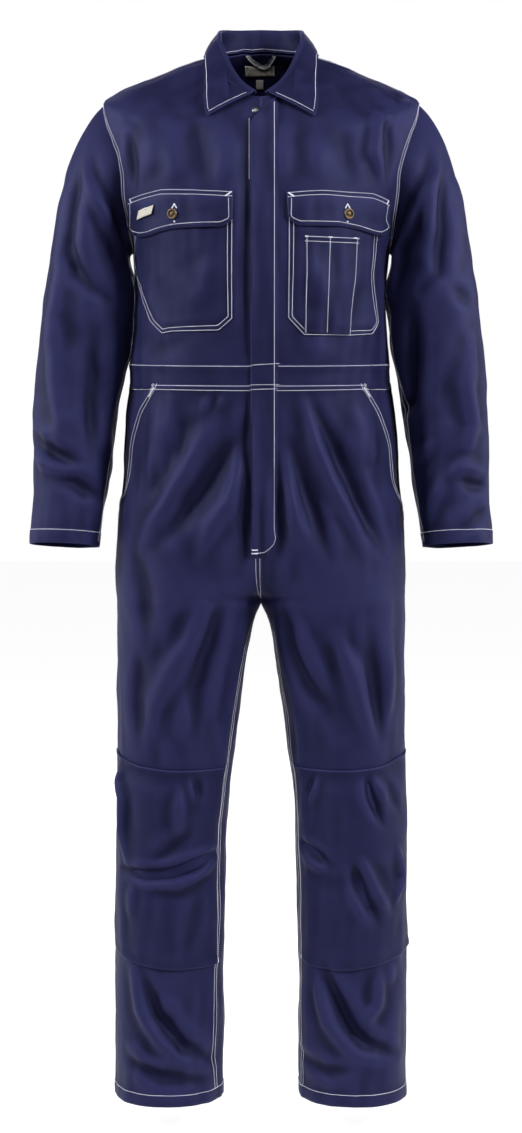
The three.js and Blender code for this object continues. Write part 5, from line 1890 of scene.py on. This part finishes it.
@dataclass
class Placket:
    """The covered closure down the front, the left front's edge folded back and sewn."""

    finish: bpy.types.Material
    thread: Thread
    free_edge: float = -14.5
    stitch: float = 19.0
    faded: float = 27.0
    foot: float = -731.0
    foot_curve: Path = ((21, -709), (18.5, -717), (13, -723), (4, -729.5), (-13, -730.5))

    def top_at(self, x: Array) -> Array:
        """Gives the top edge's height, falling to the folded corner."""
        return np.interp(x, (self.free_edge, 2, 13, self.faded), (-119, -93, -84, -74))

    def foot_at(self, x: Array) -> Array:
        """Gives the height of the curved foot's stitch line."""
        return self.foot + 26 * smooth(x, 2, 21.5) ** 2

    def height(self, x: Array, z: Array) -> Array:
        """Gives the fold's height over the fronts."""
        across = (1.6 + 1.8 * (1 - smooth(x, -10, self.stitch))
                  - 2.2 * smooth(x, self.stitch + 1.5, self.faded))
        low = smooth(self.foot_at(x) - z, -1, 7)
        wave = 0.5 * np.sin(z / 31) * (1 - smooth(x, -10, 12)) * (1 - smooth(z, -150, -100))
        corner = 2.6 * np.exp(-((x + 8) / 12) ** 2 - ((z + 112) / 20) ** 2)
        return across * (1 - low) - 0.5 * low + wave + corner

    def build(self) -> list[bpy.types.Object]:
        """Makes the placket with its sewing."""
        x = np.linspace(self.free_edge, self.faded, 18)
        share = np.linspace(0, 1, 240)[:, None]
        top, foot = self.top_at(x)[None], self.foot_at(x)[None] - 7
        z = top + (foot - top) * share
        x = np.broadcast_to(x, z.shape)
        panel = Panel("placket_cloth", *on_body(x, z))
        panel.lift(self.height(x, z))
        self.thread.sew("placket", panel.over((self.stitch, -86), (self.stitch, -695), *self.foot_curve))
        for left, right in WAIST_LINES:
            self.thread.sew("waist", panel.over((self.free_edge + 1, left), (self.faded - 2, right)))
        self.thread.tack("placket", panel.over((-13, -725.5), (-5, -725.5), step=1),
                         panel.over((-13, -730.5), (-5, -730.5), step=1))
        return [dress(panel, "placket", self.finish, Held.FOLDED)]


@dataclass(frozen=True)
class Lathe:
    """A turned fastener: profile points as radius and height from the seat up."""

    profile: Path
    segments: int = 44

    def make(self, name: str, seat: tuple[Array, Array], finish: bpy.types.Material) -> bpy.types.Object:
        """Turns the profile about the seat's normal.

        Args:
            name: The piece's name.
            seat: The seat's point and normal.
            finish: Its material.

        Returns:
            The closed mesh.
        """
        point, axis = seat
        side = unit(np.cross(axis, [0, 0, 1.0]))
        up = np.cross(side, axis)
        turn = np.linspace(0, 2 * math.pi, self.segments, endpoint=False)
        ring = np.cos(turn)[:, None] * side + np.sin(turn)[:, None] * up
        rings = [point + axis * z + ring * r for r, z in self.profile[1:-1]]
        ends = [[point + axis * self.profile[end][1]] for end in (0, -1)]
        points = np.concatenate([*rings, *ends])
        n, count = self.segments, len(rings)
        faces = [(k * n + j, k * n + (j + 1) % n, (k + 1) * n + (j + 1) % n, (k + 1) * n + j)
                 for k in range(count - 1) for j in range(n)]
        faces += [(count * n, (j + 1) % n, j) for j in range(n)]
        base = (count - 1) * n
        faces += [(count * n + 1, base + j, base + (j + 1) % n) for j in range(n)]
        obj = mesh_object(name, points, [face[::-1] for face in faces])
        obj.data.materials.append(finish)
        return obj


TACK_BUTTON = Lathe(((0, -0.3), (6.6, -0.3), (7.0, 0.2), (7.5, 1.2), (7.5, 2.0), (7.1, 2.9), (6.4, 3.3),
                     (5.7, 3.1), (5.2, 2.4), (4.9, 2.0), (3.4, 1.9), (2.8, 2.1), (2.2, 2.7), (1.2, 3.0),
                     (0, 3.05)))
PRESS_STUD = Lathe(((0, -0.3), (4.6, -0.3), (5.0, 0.4), (4.9, 1.1), (4.3, 1.7), (3.3, 2.1), (1.8, 2.35),
                    (0, 2.4)))


@dataclass
class Closures:
    """Tack buttons on the flaps and the press stud at the top of the placket."""

    brass: bpy.types.Material
    steel: bpy.types.Material
    button_place: tuple[float, float] = (123.0, -246.0)
    button_seat: float = 4.7
    stud_place: tuple[float, float] = (-8.0, -98.0)
    stud_seat: float = 0.4

    def build(self) -> list[bpy.types.Object]:
        """Makes three fasteners."""
        made = []
        for name, side in SIDES:
            seat = on_body(self.button_place[0] * side, self.button_place[1], self.button_seat)
            button = TACK_BUTTON.make(f"flap_button_{name}_brass", seat, self.brass)
            made.append(self.declare(button, f"flap_button_{name}", "antique_brass"))
        stud = PRESS_STUD.make("press_stud_cap", on_body(*self.stud_place, self.stud_seat), self.steel)
        return [*made, self.declare(stud, "press_stud", "press_stud_metal")]

    @staticmethod
    def declare(obj: bpy.types.Object, node: str, slot: str) -> bpy.types.Object:
        """Attaches a fastener to the root and hides the solid that it stands for."""
        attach(obj, "root")
        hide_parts(node)
        return obj


@dataclass
class NeckTrims:
    """Hanger loop and bare labels inside the back neck."""

    loop: bpy.types.Material
    pale: bpy.types.Material
    width: float = 5.0
    loop_path: Path = ((-22, 14), (-17, 9), (-10, 4), (-3, 0), (4, -2), (11, 1), (16, 6), (21, 13))

    def build(self) -> list[bpy.types.Object]:
        """Makes three pieces."""
        line = resample(np.array(self.loop_path, float), 30)
        way = unit(np.gradient(line, axis=0))
        beside = np.stack([-way[:, 1], way[:, 0]], axis=-1)
        across = np.linspace(self.width / 2, -self.width / 2, 4)
        spots = line[:, None] + beside[:, None] * across[None, :, None]
        return [self.inside("hanger_loop", spots, 4.4, self.loop),
                self.label("neck_label", -2, -8, 45, 14), self.label("size_label", -2, -26, 11, 13)]

    def label(self, node: str, x: float, z: float, width: float, length: float) -> bpy.types.Object:
        """Makes a bare label round a middle point."""
        spots = np.stack(np.meshgrid(np.linspace(x - width / 2, x + width / 2, 14),
                                     np.linspace(z + length / 2, z - length / 2, 7)), axis=-1)
        return self.inside(node, spots, 2.6, self.pale)

    def inside(self, node: str, spots: Array, depth: float, finish: bpy.types.Material) -> bpy.types.Object:
        """Lays a piece on the inner face of the back."""
        points, normals = on_body(spots[..., 0], spots[..., 1], -depth, Face.BACK)
        return dress(Panel(f"{node}_tape", points, -normals, thick=TAPE_THICKNESS), node, finish)


@dataclass
class Studio:
    """Plain floor, soft lights and the camera at the photo's viewing angle."""

    camera_distance: float = 3.1
    camera_height: float = -0.560
    aim_height: float = -0.75675
    lens: float = 65.8
    surround: float = 0.04

    def build(self) -> None:
        """Makes the floor, lights and camera."""
        bpy.context.scene.view_settings.view_transform = "Standard"
        self.camera()
        self.floor()
        self.world()
        self.area("rake_left", (-2.9, -1.2, 0.8), 0.8, 118)
        self.area("rake_right", (2.6, -1.8, 0.9), 0.8, 145)
        self.area("top", (-0.3, -2.4, 1.9), 0.8, 35)
        self.area("rim_left", (-3.0, 0.7, 0.2), 1.5, 25)
        self.area("rim_right", (3.0, 0.7, 0.2), 1.5, 25)
        self.area("back_fill", (0.0, 3.2, 0.8), 2.0, 60)

    def camera(self) -> None:
        """Makes the camera."""
        data = bpy.data.cameras.new("camera")
        data.lens = self.lens
        data.sensor_width = 36.0
        camera = add_object("camera", data)
        camera.location = (0, -self.camera_distance, self.camera_height)
        way = Vector((0, self.camera_distance, self.aim_height - self.camera_height))
        camera.rotation_euler = way.to_track_quat("-Z", "Y").to_euler()
        bpy.context.scene.camera = camera

    def floor(self) -> None:
        """Makes the plain pale floor under the hems."""
        mesh = bpy.data.meshes.new("studio_floor")
        reach, near, level = 14.0, 1.2, CAD_BOX[0].z - 0.04
        mesh.from_pydata([(-reach, -near, level), (reach, -near, level), (reach, reach, level),
                          (-reach, reach, level)], [], [(0, 1, 2, 3)])
        floor = add_object("studio_floor", mesh)
        graph = Graph("studio_floor")
        graph.set(Base_Color=(0.25, 0.25, 0.25, 1.0), Roughness=0.9, Emission_Color=(1.0, 1.0, 1.0, 1.0),
                  Emission_Strength=0.95)
        mesh.materials.append(graph.material)

    def world(self) -> None:
        """Sets a white surround that shines softly on the cloth."""
        world = bpy.data.worlds.new("studio")
        world.use_nodes = True
        tree = world.node_tree
        tree.nodes.clear()
        output = tree.nodes.new("ShaderNodeOutputWorld")
        mix = tree.nodes.new("ShaderNodeMixShader")
        rays = tree.nodes.new("ShaderNodeLightPath")
        shine, seen = (tree.nodes.new("ShaderNodeBackground") for _ in range(2))
        shine.inputs["Strength"].default_value = self.surround
        for background in (shine, seen):
            background.inputs["Color"].default_value = (1, 1, 1, 1)
        tree.links.new(rays.outputs["Is Camera Ray"], mix.inputs[0])
        tree.links.new(shine.outputs[0], mix.inputs[1])
        tree.links.new(seen.outputs[0], mix.inputs[2])
        tree.links.new(mix.outputs[0], output.inputs["Surface"])
        bpy.context.scene.world = world

    def area(self, name: str, place: tuple[float, float, float], size: float, power_watts: float) -> None:
        """Makes a soft light that faces the suit's middle."""
        data = bpy.data.lights.new(name, "AREA")
        data.size = size
        data.energy = power_watts
        light = add_object(name, data)
        light.location = place
        light.rotation_euler = (Vector((0, 0, -0.75)) - Vector(place)).to_track_quat("-Z", "Y").to_euler()


def main() -> None:
    """Builds the suit in order and reports each piece."""
    logging.basicConfig(level=logging.INFO, format="%(message)s")
    Studio().build()
    set_body_creases()
    twill = TwillFinish().make()
    brass = MetalFinish("antique_brass", (0.03, 0.02, 0.012), (0.2, 0.14, 0.085), 0.36).make()
    steel = MetalFinish("press_stud_metal", (0.03, 0.03, 0.035), (0.25, 0.25, 0.27), 0.25).make()
    pale = TapeFinish("pale_tab", (0.55, 0.52, 0.45), (0.42, 0.40, 0.35), 0.2).make()
    woven = TapeFinish("woven_loop", (0.85, 0.85, 0.88), (0.03, 0.03, 0.05), 0.3, 0.0035).make()
    thread = Thread(ThreadFinish().make())
    assemblies = (Bodice(twill, thread), Waistband(twill, thread), Legs(twill, thread),
                  Sleeves(twill, thread), Collar(twill, thread), Placket(twill, thread),
                  ChestPockets(twill, pale, thread), KneePockets(twill, thread), Closures(brass, steel),
                  NeckTrims(woven, pale), thread)
    for assembly in assemblies:
        made = assembly.build()
        LOG.info("%s: %d pieces", type(assembly).__name__, len(made))


if __name__ == "__main__":
    main()
